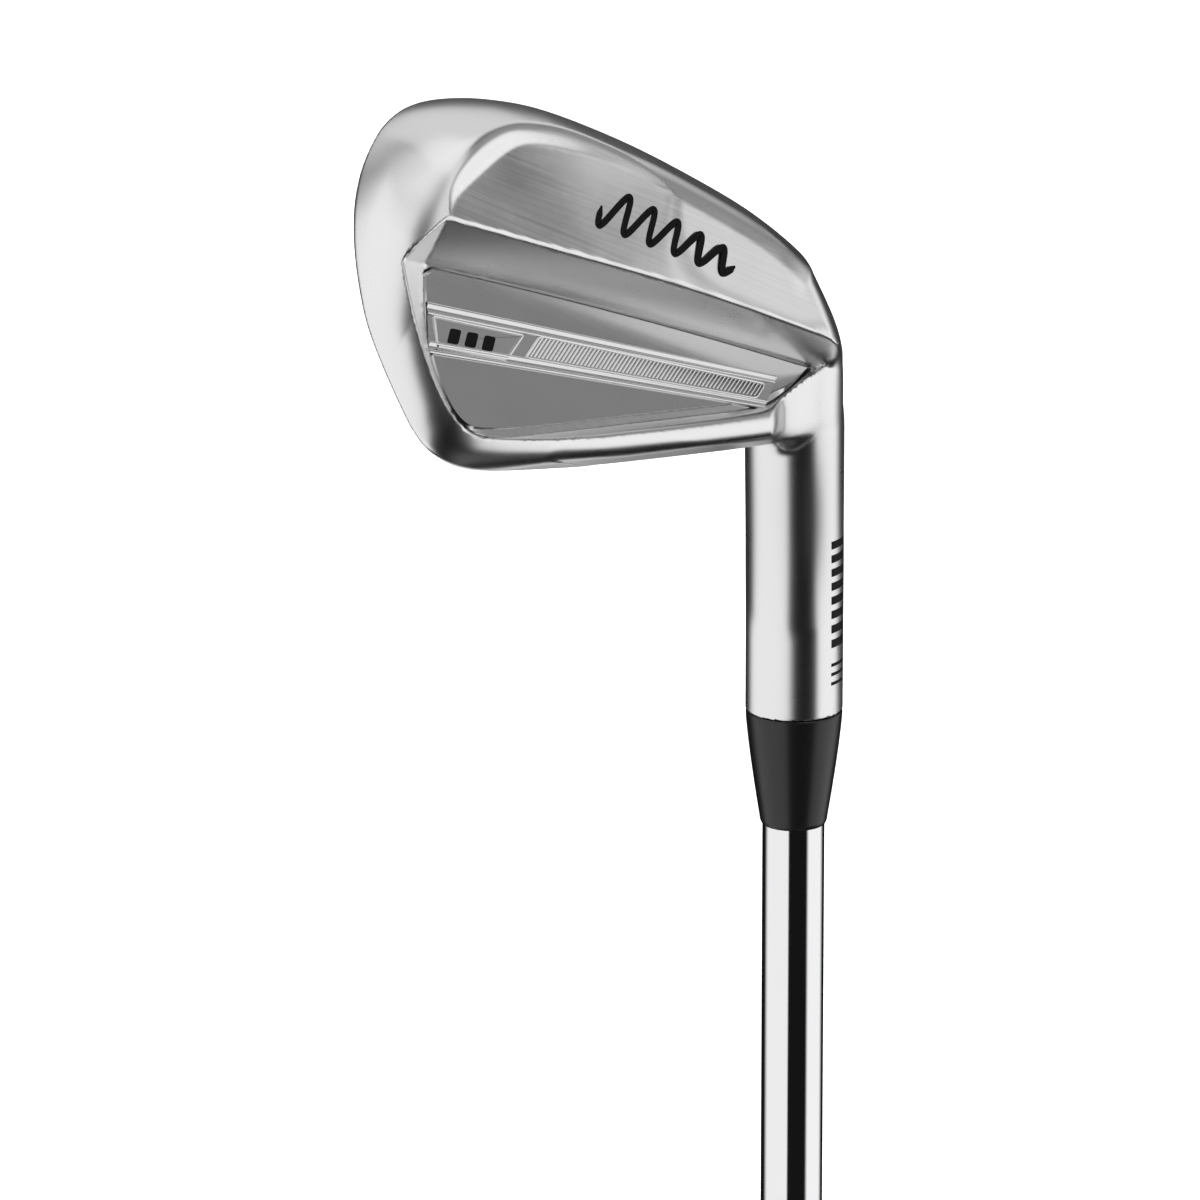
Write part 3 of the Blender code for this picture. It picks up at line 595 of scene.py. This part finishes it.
def surface(name, metallic, base, roughness, bump=0.0, grain=None, spread=(0.0, 0.0),
            cloud=120.0, shine=0.5):
    """Finish with colour and roughness varied by a cloud and by fine grain.

    grain gives repeats per metre along three directions, in the face frame or the row frame.
    """
    mat = bpy.data.materials.new(name)
    mat.use_nodes = True
    n = Nodes(mat.node_tree)
    shader = mat.node_tree.nodes["Principled BSDF"]
    shader.inputs["Metallic"].default_value = metallic
    shader.inputs["Specular IOR Level"].default_value = shine
    where = n.add("TexCoord").outputs["Object"]
    soft = n.noise(where, cloud, 4.0, 0.55)
    if grain is None:
        fine = n.noise(where, 9000.0, 2.0, 0.6)
    else:
        axes, repeats = grain
        parts = [n.math("MULTIPLY", n.dot(where, tuple(axis)), per) for axis, per in
                 zip(axes, repeats)]
        fine = n.noise(n.add("CombineXYZ", *parts).outputs[0], 1.0, 3.0, 0.7)
    mixed = n.math("ADD", n.math("MULTIPLY", soft, 0.5), n.math("MULTIPLY", fine, 0.5))
    tint, rough = spread
    value = n.remap(mixed, 0.3, 0.7, 1.0 - tint, 1.0 + tint)
    red, green, blue = (n.math("MULTIPLY", value, c) for c in base)
    colour = n.add("CombineColor", red, green, blue).outputs[0]
    mat.node_tree.links.new(colour, shader.inputs["Base Color"])
    mat.node_tree.links.new(n.remap(mixed, 0.3, 0.7, roughness - rough, roughness + rough),
                            shader.inputs["Roughness"])
    if bump:
        relief = n.add("Bump")
        relief.inputs["Strength"].default_value = 1.0
        relief.inputs["Distance"].default_value = bump * MM
        mat.node_tree.links.new(fine, relief.inputs["Height"])
        mat.node_tree.links.new(relief.outputs[0], shader.inputs["Normal"])
    return mat


FACE_AXES = (FACE_X, FACE_Y, FACE_Z)
ROW_AXES = ((1, 0, 0), (0, 1, 0), (0, 0, 1))
LOOKS = {
    "chrome_satin": surface("satin_chrome", 1.0, (0.83, 0.83, 0.835), 0.28, 0.0,
                            (ROW_AXES, (90, 90, 2400)), (0.01, 0.012)),
    "muscle": surface("brushed_chrome", 1.0, (0.82, 0.82, 0.825), 0.24, 0.0012,
                      (FACE_AXES, (22, 2600, 500)), (0.10, 0.05)),
    "face_steel": surface("milled_face", 1.0, (0.62, 0.62, 0.63), 0.36, 0.004,
                          (FACE_AXES, (60, 3200, 900)), (0.05, 0.05)),
    "plate_satin": surface("satin_plate", 1.0, (0.66, 0.66, 0.665), 0.2, 0.0002,
                           (FACE_AXES, (60, 1800, 500)), (0.03, 0.03)),
    "rib_steel": surface("rib_steel", 1.0, (0.74, 0.74, 0.745), 0.2, 0.0, None, (0.03, 0.03)),
    "panel_steel": surface("panel_steel", 1.0, (0.72, 0.72, 0.725), 0.24, 0.0002,
                           (FACE_AXES, (60, 1800, 500)), (0.03, 0.03)),
    "tungsten": surface("sintered_tungsten", 1.0, (0.34, 0.34, 0.35), 0.5, 0.02, None,
                        (0.1, 0.08)),
    "bond_tape": surface("foam_tape", 0.0, (0.09, 0.09, 0.095), 0.85, 0.05, None, (0.2, 0.05)),
    "ferrule_black": surface("ferrule_black", 0.0, (0.006, 0.006, 0.0065), 0.3, 0.0006, None,
                             (0.1, 0.03)),
    "mark_paint": surface("mark_paint", 0.0, (0.004, 0.004, 0.004), 0.5, 0.002, None,
                          (0.1, 0.05), shine=0.1),
    "epoxy": surface("epoxy", 0.0, (0.62, 0.56, 0.42), 0.35, 0.01, None, (0.06, 0.05)),
    "tip_brass": surface("brass", 1.0, (0.72, 0.55, 0.28), 0.32, 0.004, None, (0.05, 0.05)),
    "shaft_chrome": surface("polished_chrome", 1.0, (0.84, 0.84, 0.85), 0.09, 0.0002,
                            (ROW_AXES, (5000, 5000, 60)), (0.015, 0.02)),
    "band_film": surface("band_film", 0.0, (0.03, 0.03, 0.034), 0.3, 0.001, None, (0.1, 0.05)),
    "grip_tape": surface("paper_tape", 0.0, (0.80, 0.76, 0.66), 0.75, 0.02, None, (0.05, 0.05)),
    "grip_rubber": surface("grip_rubber", 0.0, (0.016, 0.016, 0.0165), 0.7, 0.04, None,
                           (0.25, 0.08)),
    "cap_rubber": surface("cap_rubber", 0.0, (0.02, 0.02, 0.021), 0.62, 0.03, None,
                          (0.2, 0.06)),
}


def paint_head():
    """Satin chrome all over, brushed where the face looks out of the muscle's hollow."""
    mesh = head.data
    mesh.materials.append(LOOKS["chrome_satin"])
    mesh.materials.append(LOOKS["muscle"])
    centre = np.empty(len(mesh.polygons) * 3)
    mesh.polygons.foreach_get("center", centre)
    a, f, u = row_to_address(centre.reshape(-1, 3))
    y, z = face_coordinates(f, u)
    level = np.minimum(muscle_level(a, y), back_level(y))
    brushed = (np.abs(z - level) < 0.3) & (muscle_edge_field(a, y) < -0.2)
    mesh.polygons.foreach_set("material_index", brushed.astype(np.int32))


paint_head()
for node, slot in (("face_insert", "face_steel"), ("toe_weight", "tungsten"),
                   ("heel_weight", "tungsten"), ("plate_bond_tape", "bond_tape"),
                   ("hosel_epoxy", "epoxy"), ("tip_plug", "tip_brass"),
                   ("grip_tape", "grip_tape")):
    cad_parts[node].data.materials.clear()
    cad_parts[node].data.materials.append(LOOKS[slot])

# ---------------------------------------------------------------- back plate

BAR_TOP = [(64.9, 37.5), (2.4, 26.5)]    # bar's edge towards the muscle, toe end to heel end
BAR_LOW = [(63.9, 45.2), (4.4, 32.3)]    # and its edge towards the topline
BAR_NARROWS = 0.25                       # share of their width that the ridges lose to the heel
BAR_FLOOR = PLATE_Z + 0.13
RIB_START = [(45.0, 35.6), (47.3, 39.9)]
RIB_STOP = [(4.6, 28.5), (6.1, 31.3)]
RIB_COUNT = 60
PANEL = [(63.6, 39.3), (62.7, 43.6), (50.4, 41.1), (47.9, 36.6)]
CHAMFER_WIDTH = 0.75                     # extra width of the plate's chamfer along the topline
EDGE_WIDTH = 0.22


def inset(ring, amounts):
    """Convex ring moved inwards by an amount at each corner."""
    ring = np.asarray(ring, float)
    before, after = np.roll(ring, 1, 0), np.roll(ring, -1, 0)
    e1, e2 = ring - before, after - ring
    n1 = np.stack([-e1[:, 1], e1[:, 0]], 1) / np.hypot(*e1.T)[:, None]
    n2 = np.stack([-e2[:, 1], e2[:, 0]], 1) / np.hypot(*e2.T)[:, None]
    mean = n1 + n2
    mean /= np.hypot(*mean.T)[:, None]
    amounts = np.asarray(amounts, float) * np.ones(len(ring))
    return ring + mean * (amounts / np.maximum((mean * n1).sum(1), 0.5))[:, None]


def stacked(name, layers, angle=30.0):
    """Solid from rings in face coordinates, one above another, capped at both ends."""
    count = len(layers[0][0])
    verts = np.vstack([np.column_stack([ring, np.full(count, z)]) for ring, z in layers])
    return finish_mesh(name, verts, rings_faces(len(layers), count, True), face_to_row, angle)


def swept(name, path, section, closed=False, angle=40.0):
    """Section (sideways, z) carried along a path in face coordinates."""
    path = np.asarray(path, float)
    if closed:
        ahead = np.roll(path, -1, 0) - np.roll(path, 1, 0)
    else:
        ahead = np.gradient(path, axis=0)
    side = np.stack([-ahead[:, 1], ahead[:, 0]], 1) / np.hypot(*ahead.T)[:, None]
    verts = []
    for p, n in zip(path, side):
        verts += [(p[0] + n[0] * s, p[1] + n[1] * s, z) for s, z in section]
    return finish_mesh(name, verts, rings_faces(len(path), len(section), not closed, closed),
                       face_to_row, angle)


def rounded_ring(points, radius, steps=5):
    """Closed ring with its corners rounded."""
    ring = []
    count = len(points)
    for k in range(count):
        here = np.array(points[k], float)
        to_last = np.array(points[k - 1], float) - here
        to_next = np.array(points[(k + 1) % count], float) - here
        start = here + to_last / np.hypot(*to_last) * radius
        stop = here + to_next / np.hypot(*to_next) * radius
        for t in np.linspace(0, 1, steps):
            ring.append((1 - t) ** 2 * start + 2 * t * (1 - t) * here + t * t * stop)
    return np.array(ring)


def turned_left(ring):
    """The ring in the order that goes anticlockwise."""
    x, y = np.asarray(ring, float).T
    area = (x * np.roll(y, -1) - y * np.roll(x, -1)).sum()
    return ring[::-1] if area < 0 else ring


def make_plate():
    ring = turned_left(PLATE_RING)
    x, y = ring.T
    topline = smooth_step((y - (0.45 * x + 27.0)) / 2.0) * smooth_step((58.0 - x) / 6.0)
    wide = EDGE_WIDTH + CHAMFER_WIDTH * topline
    layers = [(ring, PLATE_SEAT), (ring, PLATE_Z - 0.5), (inset(ring, 0.16), PLATE_Z - 0.34),
              (inset(ring, wide), PLATE_Z - 0.26), (inset(ring, wide + EDGE_WIDTH), PLATE_Z)]
    return place(stacked("plate_shell", layers), "plate_satin", LOOKS["plate_satin"], "back_plate")


# Ridges along one side of the bar: (in from its edge, height over the plate)
BAR_PROFILE = [
    (0.0, -0.2), (0.0, 0.15), (0.12, 0.36), (0.35, 0.42), (0.58, 0.36), (0.72, 0.2), (0.95, 0.13),
    (1.2, 0.13), (1.38, 0.2), (1.48, 0.36), (1.66, 0.42), (1.84, 0.36), (1.95, 0.14),
]


def make_bar():
    """Raised bar across the plate: a pair of ridges along each side and a sunk floor."""
    across = [(s, z, False) for s, z in BAR_PROFILE] + [(s, z, True) for s, z in BAR_PROFILE[::-1]]
    bar_top, bar_low = np.array(BAR_TOP), np.array(BAR_LOW)
    verts = []
    steps = 40
    for t in np.linspace(0, 1, steps):
        top = bar_top[0] * (1 - t) + bar_top[1] * t
        low = bar_low[0] * (1 - t) + bar_low[1] * t
        width = np.hypot(*(low - top))
        for s, z, far in across:
            part = s * (1 - BAR_NARROWS * t) / width
            x, y = top + (low - top) * (1 - part if far else part)
            verts.append((x, y, PLATE_Z + z))
    obj = finish_mesh("bar_ridges", verts, rings_faces(steps, len(across), True), face_to_row, 50)
    return place(obj, "rib_steel", LOOKS["rib_steel"])


RAIL_WIDTH = 0.4
RAIL = [(-0.2, 0.0), (-0.17, 0.2), (0.0, 0.28), (0.17, 0.2), (0.2, 0.0)]
RIB = [(-0.2, 0.0), (-0.1625, 0.2), (0.0, 0.26), (0.1625, 0.2), (0.2, 0.0)]
RIB_INSET = 0.35


def rail(name, ring, width):
    """Thin raised frame round a closed ring on the bar's floor."""
    section = [(s * width / RAIL_WIDTH, BAR_FLOOR + z) for s, z in RAIL]
    return place(swept(name, ring, section, closed=True), "rib_steel", LOOKS["rib_steel"])


def make_ribs():
    """Row of small ribs across the bar, each with a rounded top."""
    verts, faces = [], []
    start, stop = np.array(RIB_START), np.array(RIB_STOP)
    along = (stop[0] - start[0]) / np.hypot(*(stop[0] - start[0]))
    for i in range(RIB_COUNT):
        t = (i + 0.9) / (RIB_COUNT + 0.8)
        top = start[0] * (1 - t) + stop[0] * t
        low = start[1] * (1 - t) + stop[1] * t
        inward = (low - top) / np.hypot(*(low - top)) * RIB_INSET
        for end in (top + inward, low - inward):
            base = len(verts)
            verts += [(*(end + along * s), BAR_FLOOR + z) for s, z in RIB]
        faces += [(base - 5 + k, base - 4 + k, base + 1 + k, base + k) for k in range(4)]
        faces.append((base - 5, base, base + 4, base - 1))
        faces.append(tuple(range(base - 5, base)))
        faces.append(tuple(range(base + 4, base - 1, -1)))
    obj = finish_mesh("rib_bars", verts, faces, face_to_row, 50)
    return place(obj, "rib_steel", LOOKS["rib_steel"], "rib_inlay")


def make_panel():
    ring = turned_left(rounded_ring(PANEL, 0.8))
    layers = [(inset(ring, 0.2), PLATE_Z), (inset(ring, 0.2), PLATE_Z + 0.2),
              (inset(ring, 0.3), PLATE_Z + 0.24)]
    return place(stacked("panel_shell", layers, 10.0), "panel_steel", LOOKS["panel_steel"],
                 "panel_inlay")


make_plate()
make_bar()
make_ribs()
rail("rib_frame", rounded_ring(RIB_START + RIB_STOP[::-1], 0.7), 0.4)
make_panel()
rail("panel_frame", rounded_ring(PANEL, 0.35), 0.3)

# ---------------------------------------------------------------- painted marks

PANEL_BARS = 3
WAVE_TURNS = 5.5
WAVE_HALF_WIDTH = 0.5
DASHES = [(893.2 - 2.2 * i, 1.25) for i in range(8)]    # height on the club, and size along it
DASHES += [(874.6, 0.5), (873.2, 0.5), (871.8, 0.5)]
DASH_TURN = math.radians(-57.0)                         # where the row stands round the hosel
DASH_HALF_ANGLE = 0.26


def make_panel_mark():
    """Plain slanted bars in place of lettering."""
    verts, faces = [], []
    for i in range(PANEL_BARS):
        x0, y0 = 60.6 - 3.0 * i, 40.1 - 0.55 * i
        corners = [(x0, y0), (x0 - 1.9, y0 - 0.35), (x0 - 1.45, y0 + 2.05), (x0 + 0.45, y0 + 2.4)]
        outer = rounded_ring(corners, 0.4, 4)
        base = len(verts)
        count = len(outer)
        verts += [(*p, PLATE_Z + 0.2) for p in outer] + [(*p, PLATE_Z + 0.3) for p in outer]
        faces.append(tuple(range(base, base + count))[::-1])
        faces.append(tuple(range(base + count, base + 2 * count)))
        faces += [(base + k, base + (k + 1) % count, base + count + (k + 1) % count,
                   base + count + k) for k in range(count)]
    return place(finish_mesh("panel_mark", verts, faces, face_to_row), "ferrule_black",
                 LOOKS["mark_paint"])


def make_wave_mark():
    """Plain painted wave on the muscle, where such a club carries its maker's script."""
    t = np.linspace(0, 1, 241)
    swing = (2.9 - 1.5 * t) * np.sin(2 * math.pi * WAVE_TURNS * t)
    x = 42.0 - 23.5 * t + 0.35 * swing
    y = 17.3 + 1.2 * t + swing
    ahead = np.stack([np.gradient(x), np.gradient(y)], 1)
    side = np.stack([-ahead[:, 1], ahead[:, 0]], 1) / np.hypot(*ahead.T)[:, None]
    half = WAVE_HALF_WIDTH * np.minimum(1, np.minimum(t, 1 - t) * 60 + 0.25)
    verts = []
    for low in (-0.15, 0.03):
        for sign in (-1, 1):
            px, py = x + sign * half * side[:, 0], y + sign * half * side[:, 1]
            verts.append(np.stack([px, py, muscle_level(px, py) + low], 1))
    a, b, c, d = (k * len(t) for k in range(4))
    faces = []
    for i in range(len(t) - 1):
        faces += [(a + i, a + i + 1, b + i + 1, b + i), (c + i, d + i, d + i + 1, c + i + 1),
                  (a + i, c + i, c + i + 1, a + i + 1), (b + i, b + i + 1, d + i + 1, d + i)]
    end = len(t) - 1
    faces += [(a, b, d, c), (a + end, c + end, d + end, b + end)]
    return place(finish_mesh("wave_mark", np.vstack(verts), faces, face_to_row, 60),
                 "ferrule_black", LOOKS["mark_paint"])


def make_hosel_mark():
    """Row of plain dashes up the hosel."""
    verts, faces = [], []
    turn = np.linspace(-DASH_HALF_ANGLE, DASH_HALF_ANGLE, 7) + DASH_TURN
    lean_x, lean_y = -math.sin(NECK_TURN), -math.cos(NECK_TURN)
    for z, tall in DASHES:
        base = len(verts)
        for r in (HOSEL_RADIUS - 0.1, HOSEL_RADIUS + 0.03):
            for dz in (-tall / 2, tall / 2):
                lean = neck_lean(CLUB_LENGTH - z - dz)
                verts += [(r * math.cos(t) + lean * lean_x, r * math.sin(t) + lean * lean_y, z + dz)
                          for t in turn]
        n = len(turn)
        low_in, high_in, low_out, high_out = (base + n * row for row in range(4))
        for k in range(n - 1):
            faces += [(low_out + k, low_out + k + 1, high_out + k + 1, high_out + k),
                      (low_in + k, high_in + k, high_in + k + 1, low_in + k + 1),
                      (low_in + k, low_in + k + 1, low_out + k + 1, low_out + k),
                      (high_in + k, high_out + k, high_out + k + 1, high_in + k + 1)]
        faces += [(low_in, low_out, high_out, high_in),
                  (high_in - 1, low_out - 1, high_out + n - 1, high_out - 1)]
    return place(finish_mesh("hosel_mark", verts, faces, row_mm, 60), "ferrule_black",
                 LOOKS["mark_paint"])


make_panel_mark()
make_wave_mark()
make_hosel_mark()

# ---------------------------------------------------------------- ferrule, shaft and grip

HOSEL_END = CLUB_LENGTH - HOSEL_LENGTH
FERRULE_LENGTH = 17.2
FERRULE_LOW = HOSEL_END - FERRULE_LENGTH
FERRULE_TAPER = 2.05
BUTT_RADIUS = 7.62
SHAFT_WALL = 0.85
SHAFT_BUTT_Z = 3.6
SHAFT_STEPS = 14
FIRST_STEP_Z = 650.0
STEP_PITCH = 25.4
GRIP_LENGTH = 267.0
GRIP_MOUTH_RADIUS = 8.8
GRIP_BUTT_RADIUS = 13.2
GRIP_BORE_RADIUS = 7.92
GRIP_TAPER_Z = [5.0, 22.0, 50.0, 95.0, 140.0, 190.0, 235.0, 263.0]
GRIP_TAPER_R = [13.2, 12.9, 12.2, 11.2, 10.3, 9.4, 8.75, 8.45]
GROOVES_FROM, GROOVES_TO = 14.0, 246.0   # diamond grooves along the grip
GROOVE_PANEL = 29.0                      # in panels of this length
GROOVE_LINES = 14
GROOVE_RISE = 0.7                        # radians that they turn per mm, times the lines
GROOVE_WIDTH = 0.22
GROOVE_DEPTH = 0.3
CAP_THICK = 3.2
CAP_RINGS = (9.0, 7.0, 5.0)
VENT_RADIUS = 1.3
BAND_Z = 280.0
BAND_WIDTH = 28.0


def make_ferrule():
    bore = TIP_RADIUS + 0.04
    outer = [(HOSEL_RADIUS - 0.12, HOSEL_END - 0.05), (HOSEL_RADIUS - 0.04, HOSEL_END - 0.15)]
    wide = HOSEL_RADIUS - 0.02
    for t in np.linspace(0, 1, 25):
        outer.append((wide - FERRULE_TAPER * t ** 1.25, HOSEL_END - 0.4 - 15.6 * t))
    for t in np.linspace(0.2, 1, 6):
        turn = t * math.pi / 2
        outer.append((wide - FERRULE_TAPER - 0.42 * (1 - math.cos(turn)) - 0.08 * t,
                      HOSEL_END - 16.0 - 1.2 * math.sin(turn)))
    profile = outer + [(bore, FERRULE_LOW), (bore, HOSEL_END - 0.05)]
    return place(lathe("ferrule_shell", profile), "ferrule_black", LOOKS["ferrule_black"], "ferrule")


def make_shaft():
    rise = (BUTT_RADIUS - TIP_RADIUS) / SHAFT_STEPS
    top = HOSEL_END + BORE_DEPTH - 0.4
    outer = [(TIP_RADIUS - 0.4, top), (TIP_RADIUS, top - 0.5)]
    for i in range(SHAFT_STEPS):
        z, r = FIRST_STEP_Z - i * STEP_PITCH, TIP_RADIUS + i * rise
        outer += [(r, z + 0.8), (r + rise * 0.15, z + 0.4), (r + rise * 0.85, z - 0.4),
                  (r + rise, z - 0.8)]
    outer.append((BUTT_RADIUS, SHAFT_BUTT_Z))
    inner = [(BUTT_RADIUS - SHAFT_WALL, SHAFT_BUTT_Z),
             (BUTT_RADIUS - SHAFT_WALL, FIRST_STEP_Z - SHAFT_STEPS * STEP_PITCH),
             (TIP_RADIUS - SHAFT_WALL, FIRST_STEP_Z - 10), (TIP_RADIUS - SHAFT_WALL, top)]
    return place(lathe("shaft_shell", outer + inner, angle=20), "shaft_chrome",
                 LOOKS["shaft_chrome"], "shaft")


def make_band():
    inner, outer = BUTT_RADIUS + 0.05, BUTT_RADIUS + 0.15
    profile = [(inner, BAND_Z + BAND_WIDTH), (outer, BAND_Z + BAND_WIDTH)]
    for k in range(3):
        z = BAND_Z + BAND_WIDTH - 6.0 - 4.0 * k
        profile += [(outer, z), (outer - 0.04, z - 0.2), (outer - 0.04, z - 1.4), (outer, z - 1.6)]
    profile += [(outer, BAND_Z), (inner, BAND_Z)]
    return place(lathe("band_shell", profile[::-1], 96), "band_film", LOOKS["band_film"],
                 "shaft_band")


def grip_groove(turn, z, r):
    """Diamond grooves over the gripping part, in panels between plain rings."""
    if z < GROOVES_FROM or z > GROOVES_TO or r < GRIP_BORE_RADIUS + 0.1:
        return 0.0 * turn
    panel = (z - GROOVES_FROM) % GROOVE_PANEL
    fade = smooth_step(min(panel, GROOVE_PANEL - panel) / 1.6 - 0.6)
    groove = 0.0
    for way in (1, -1):
        off = np.abs(np.sin((GROOVE_LINES * turn + way * GROOVE_RISE * z) / 2))
        groove = groove + np.maximum(1 - off / GROOVE_WIDTH, 0)
    return -GROOVE_DEPTH * fade * np.minimum(groove, 1.0)


def make_grip():
    mouth = [(-0.4, 0.0), (-0.1, 0.3), (0.0, 0.7), (0.0, 3.4), (-0.3, 3.7)]
    profile = [(GRIP_MOUTH_RADIUS + dr, GRIP_LENGTH - dz) for dr, dz in mouth]
    body_z = np.arange(262.8, 5.0, -0.62)
    profile += list(zip(np.interp(body_z, GRIP_TAPER_Z, GRIP_TAPER_R), body_z))
    profile += [(GRIP_BUTT_RADIUS, CAP_THICK + 1.0), (GRIP_BUTT_RADIUS, CAP_THICK + 0.05),
                (GRIP_BORE_RADIUS, CAP_THICK + 0.05), (GRIP_BORE_RADIUS, GRIP_LENGTH)]
    return place(lathe("grip_shell", profile, 180, ripple=grip_groove, angle=60), "grip_rubber",
                 LOOKS["grip_rubber"], "grip_sleeve")


def make_cap():
    r = GRIP_BUTT_RADIUS
    profile = [(r - 0.1, CAP_THICK), (r, CAP_THICK - 0.1), (r, 1.6), (r - 0.15, 1.1), (r - 0.5, 0.6),
               (r - 1.1, 0.25), (r - 1.9, 0.05), (r - 2.6, 0.0)]
    for ring in CAP_RINGS:
        profile += [(ring, 0.0), (ring - 0.2, 0.25), (ring - 0.5, 0.25), (ring - 0.7, 0.0)]
    profile += [(VENT_RADIUS + 0.3, 0.0), (VENT_RADIUS, 0.3), (VENT_RADIUS, CAP_THICK)]
    return place(lathe("cap_shell", profile, 96), "cap_rubber", LOOKS["cap_rubber"], "grip_cap")


make_ferrule()
make_shaft()
make_band()
make_grip()
make_cap()

# ---------------------------------------------------------------- light

CAMERA_TURN = math.radians(30.0)         # camera stands behind the head, turned to the toe
CAMERA_TILT = math.radians(16.5)
CAMERA_DISTANCE = 1.5057
CAMERA_LENS, CAMERA_SENSOR = 312.0, 36.0
CAMERA_LEFT, CAMERA_UP = 0.0280, 0.0321  # from the ferrule's end to the middle of the picture
TO_CAMERA = Vector((-math.sin(CAMERA_TURN), -math.cos(CAMERA_TURN), 0.0))
TO_RIGHT = Vector((math.cos(CAMERA_TURN), -math.sin(CAMERA_TURN), 0.0))


# azimuth from, to; elevation from, to; softness of those four edges; brightness
SOFTBOXES = [
    ((-117, -18), (-60, 60), (28, 6, 12, 20), 1.0),
    ((54, 128), (-38, 16), (14, 26, 8, 14), 1.05),
    ((15, 80), (22, 62), (20, 18, 12, 10), 0.85),
    ((125, 230), (21, 60), (24, 20, 12, 10), 0.75),
    (None, (58, 92), (0, 0, 20, 1), 1.0),
    ((150, 215), (-85, -40), (15, 15, 8, 20), 0.75),
    ((30, 80), (-90, -50), (20, 20, 1, 6), 0.12),
    ((88, 120), (16, 42), (20, 20, 8, 12), 0.3),
]
WORLD_BASE = 0.008
SUN_STRENGTH = 3.4
SUN_ANGLE = math.radians(70)


def world_light():
    """Soft boxes all round for what the metal mirrors, and white paper behind the club."""
    world = bpy.data.worlds.new("studio")
    bpy.context.scene.world = world
    world.use_nodes = True
    world.node_tree.nodes.clear()
    n = Nodes(world.node_tree)
    look = n.add("TexCoord").outputs["Generated"]
    ahead, right = n.dot(look, tuple(TO_CAMERA)), n.dot(look, tuple(TO_RIGHT))
    azimuth = n.math("DEGREES", n.math("ARCTAN2", right, ahead))
    elevation = n.math("DEGREES", n.math("ARCSINE", n.dot(look, (0, 0, 1))))

    def between(value, low, high, soft_low, soft_high):
        rise = n.remap(value, low - soft_low / 2, low + soft_low / 2, 0, 1, "SMOOTHSTEP")
        fall = n.remap(value, high - soft_high / 2, high + soft_high / 2, 1, 0, "SMOOTHSTEP")
        return n.math("MULTIPLY", rise, fall)

    total = WORLD_BASE
    for across, tall, soft, strength in SOFTBOXES:
        lit = between(elevation, *tall, *soft[2:])
        if across:
            middle, half = (across[0] + across[1]) / 2, (across[1] - across[0]) / 2
            turned = n.math("WRAP", n.math("SUBTRACT", azimuth, middle), 180.0, -180.0)
            lit = n.math("MULTIPLY", lit, between(turned, -half, half, *soft[:2]))
        total = n.math("MAXIMUM", total, n.math("MULTIPLY", lit, strength))
    studio = n.add("Background", (1, 1, 1, 1), total)
    paper = n.add("Background", (1, 1, 1, 1), 1.0)
    seen = n.add("LightPath").outputs["Is Camera Ray"]
    mix = n.add("MixShader", seen, studio.outputs[0], paper.outputs[0])
    n.add("OutputWorld", mix.outputs[0])


world_light()

sun = bpy.data.objects.new("overhead", bpy.data.lights.new("overhead", "SUN"))
sun.data.energy = SUN_STRENGTH
sun.data.angle = SUN_ANGLE
sun.visible_glossy = False
bpy.context.scene.collection.objects.link(sun)

# ---------------------------------------------------------------- floor and camera

FLOOR_RADIUS = 12.0
FLOOR_SIDES = 96
floor_turns = np.linspace(0, 2 * math.pi, FLOOR_SIDES, endpoint=False)
floor_edge = [(FLOOR_RADIUS * math.cos(t), FLOOR_RADIUS * math.sin(t), 0) for t in floor_turns]
floor = new_piece("floor", floor_edge, [range(FLOOR_SIDES)], smooth=False)
paint = bpy.data.materials.new("floor")
paint.use_nodes = True
paint_inputs = paint.node_tree.nodes["Principled BSDF"].inputs
paint_inputs["Base Color"].default_value = (0.92, 0.92, 0.92, 1)
paint_inputs["Roughness"].default_value = 0.9
floor.data.materials.append(paint)
floor.visible_glossy = False

camera = bpy.data.objects.new("camera", bpy.data.cameras.new("camera"))
camera.data.lens = CAMERA_LENS
camera.data.sensor_width = CAMERA_SENSOR
camera.data.clip_end = 50.0
back = TO_CAMERA * math.cos(CAMERA_TILT) + Vector((0, 0, math.sin(CAMERA_TILT)))
up = back.cross(TO_RIGHT).normalized()
ferrule_end = Vector((0, 0, FERRULE_LOW * MM))
camera.location = (ferrule_end + back * CAMERA_DISTANCE - TO_RIGHT * CAMERA_LEFT
                   + up * CAMERA_UP)
camera.rotation_mode = "QUATERNION"
camera.rotation_quaternion = (-back).to_track_quat("-Z", "Y")
bpy.context.scene.collection.objects.link(camera)
bpy.context.scene.camera = camera
bpy.context.scene.view_settings.view_transform = "Standard"
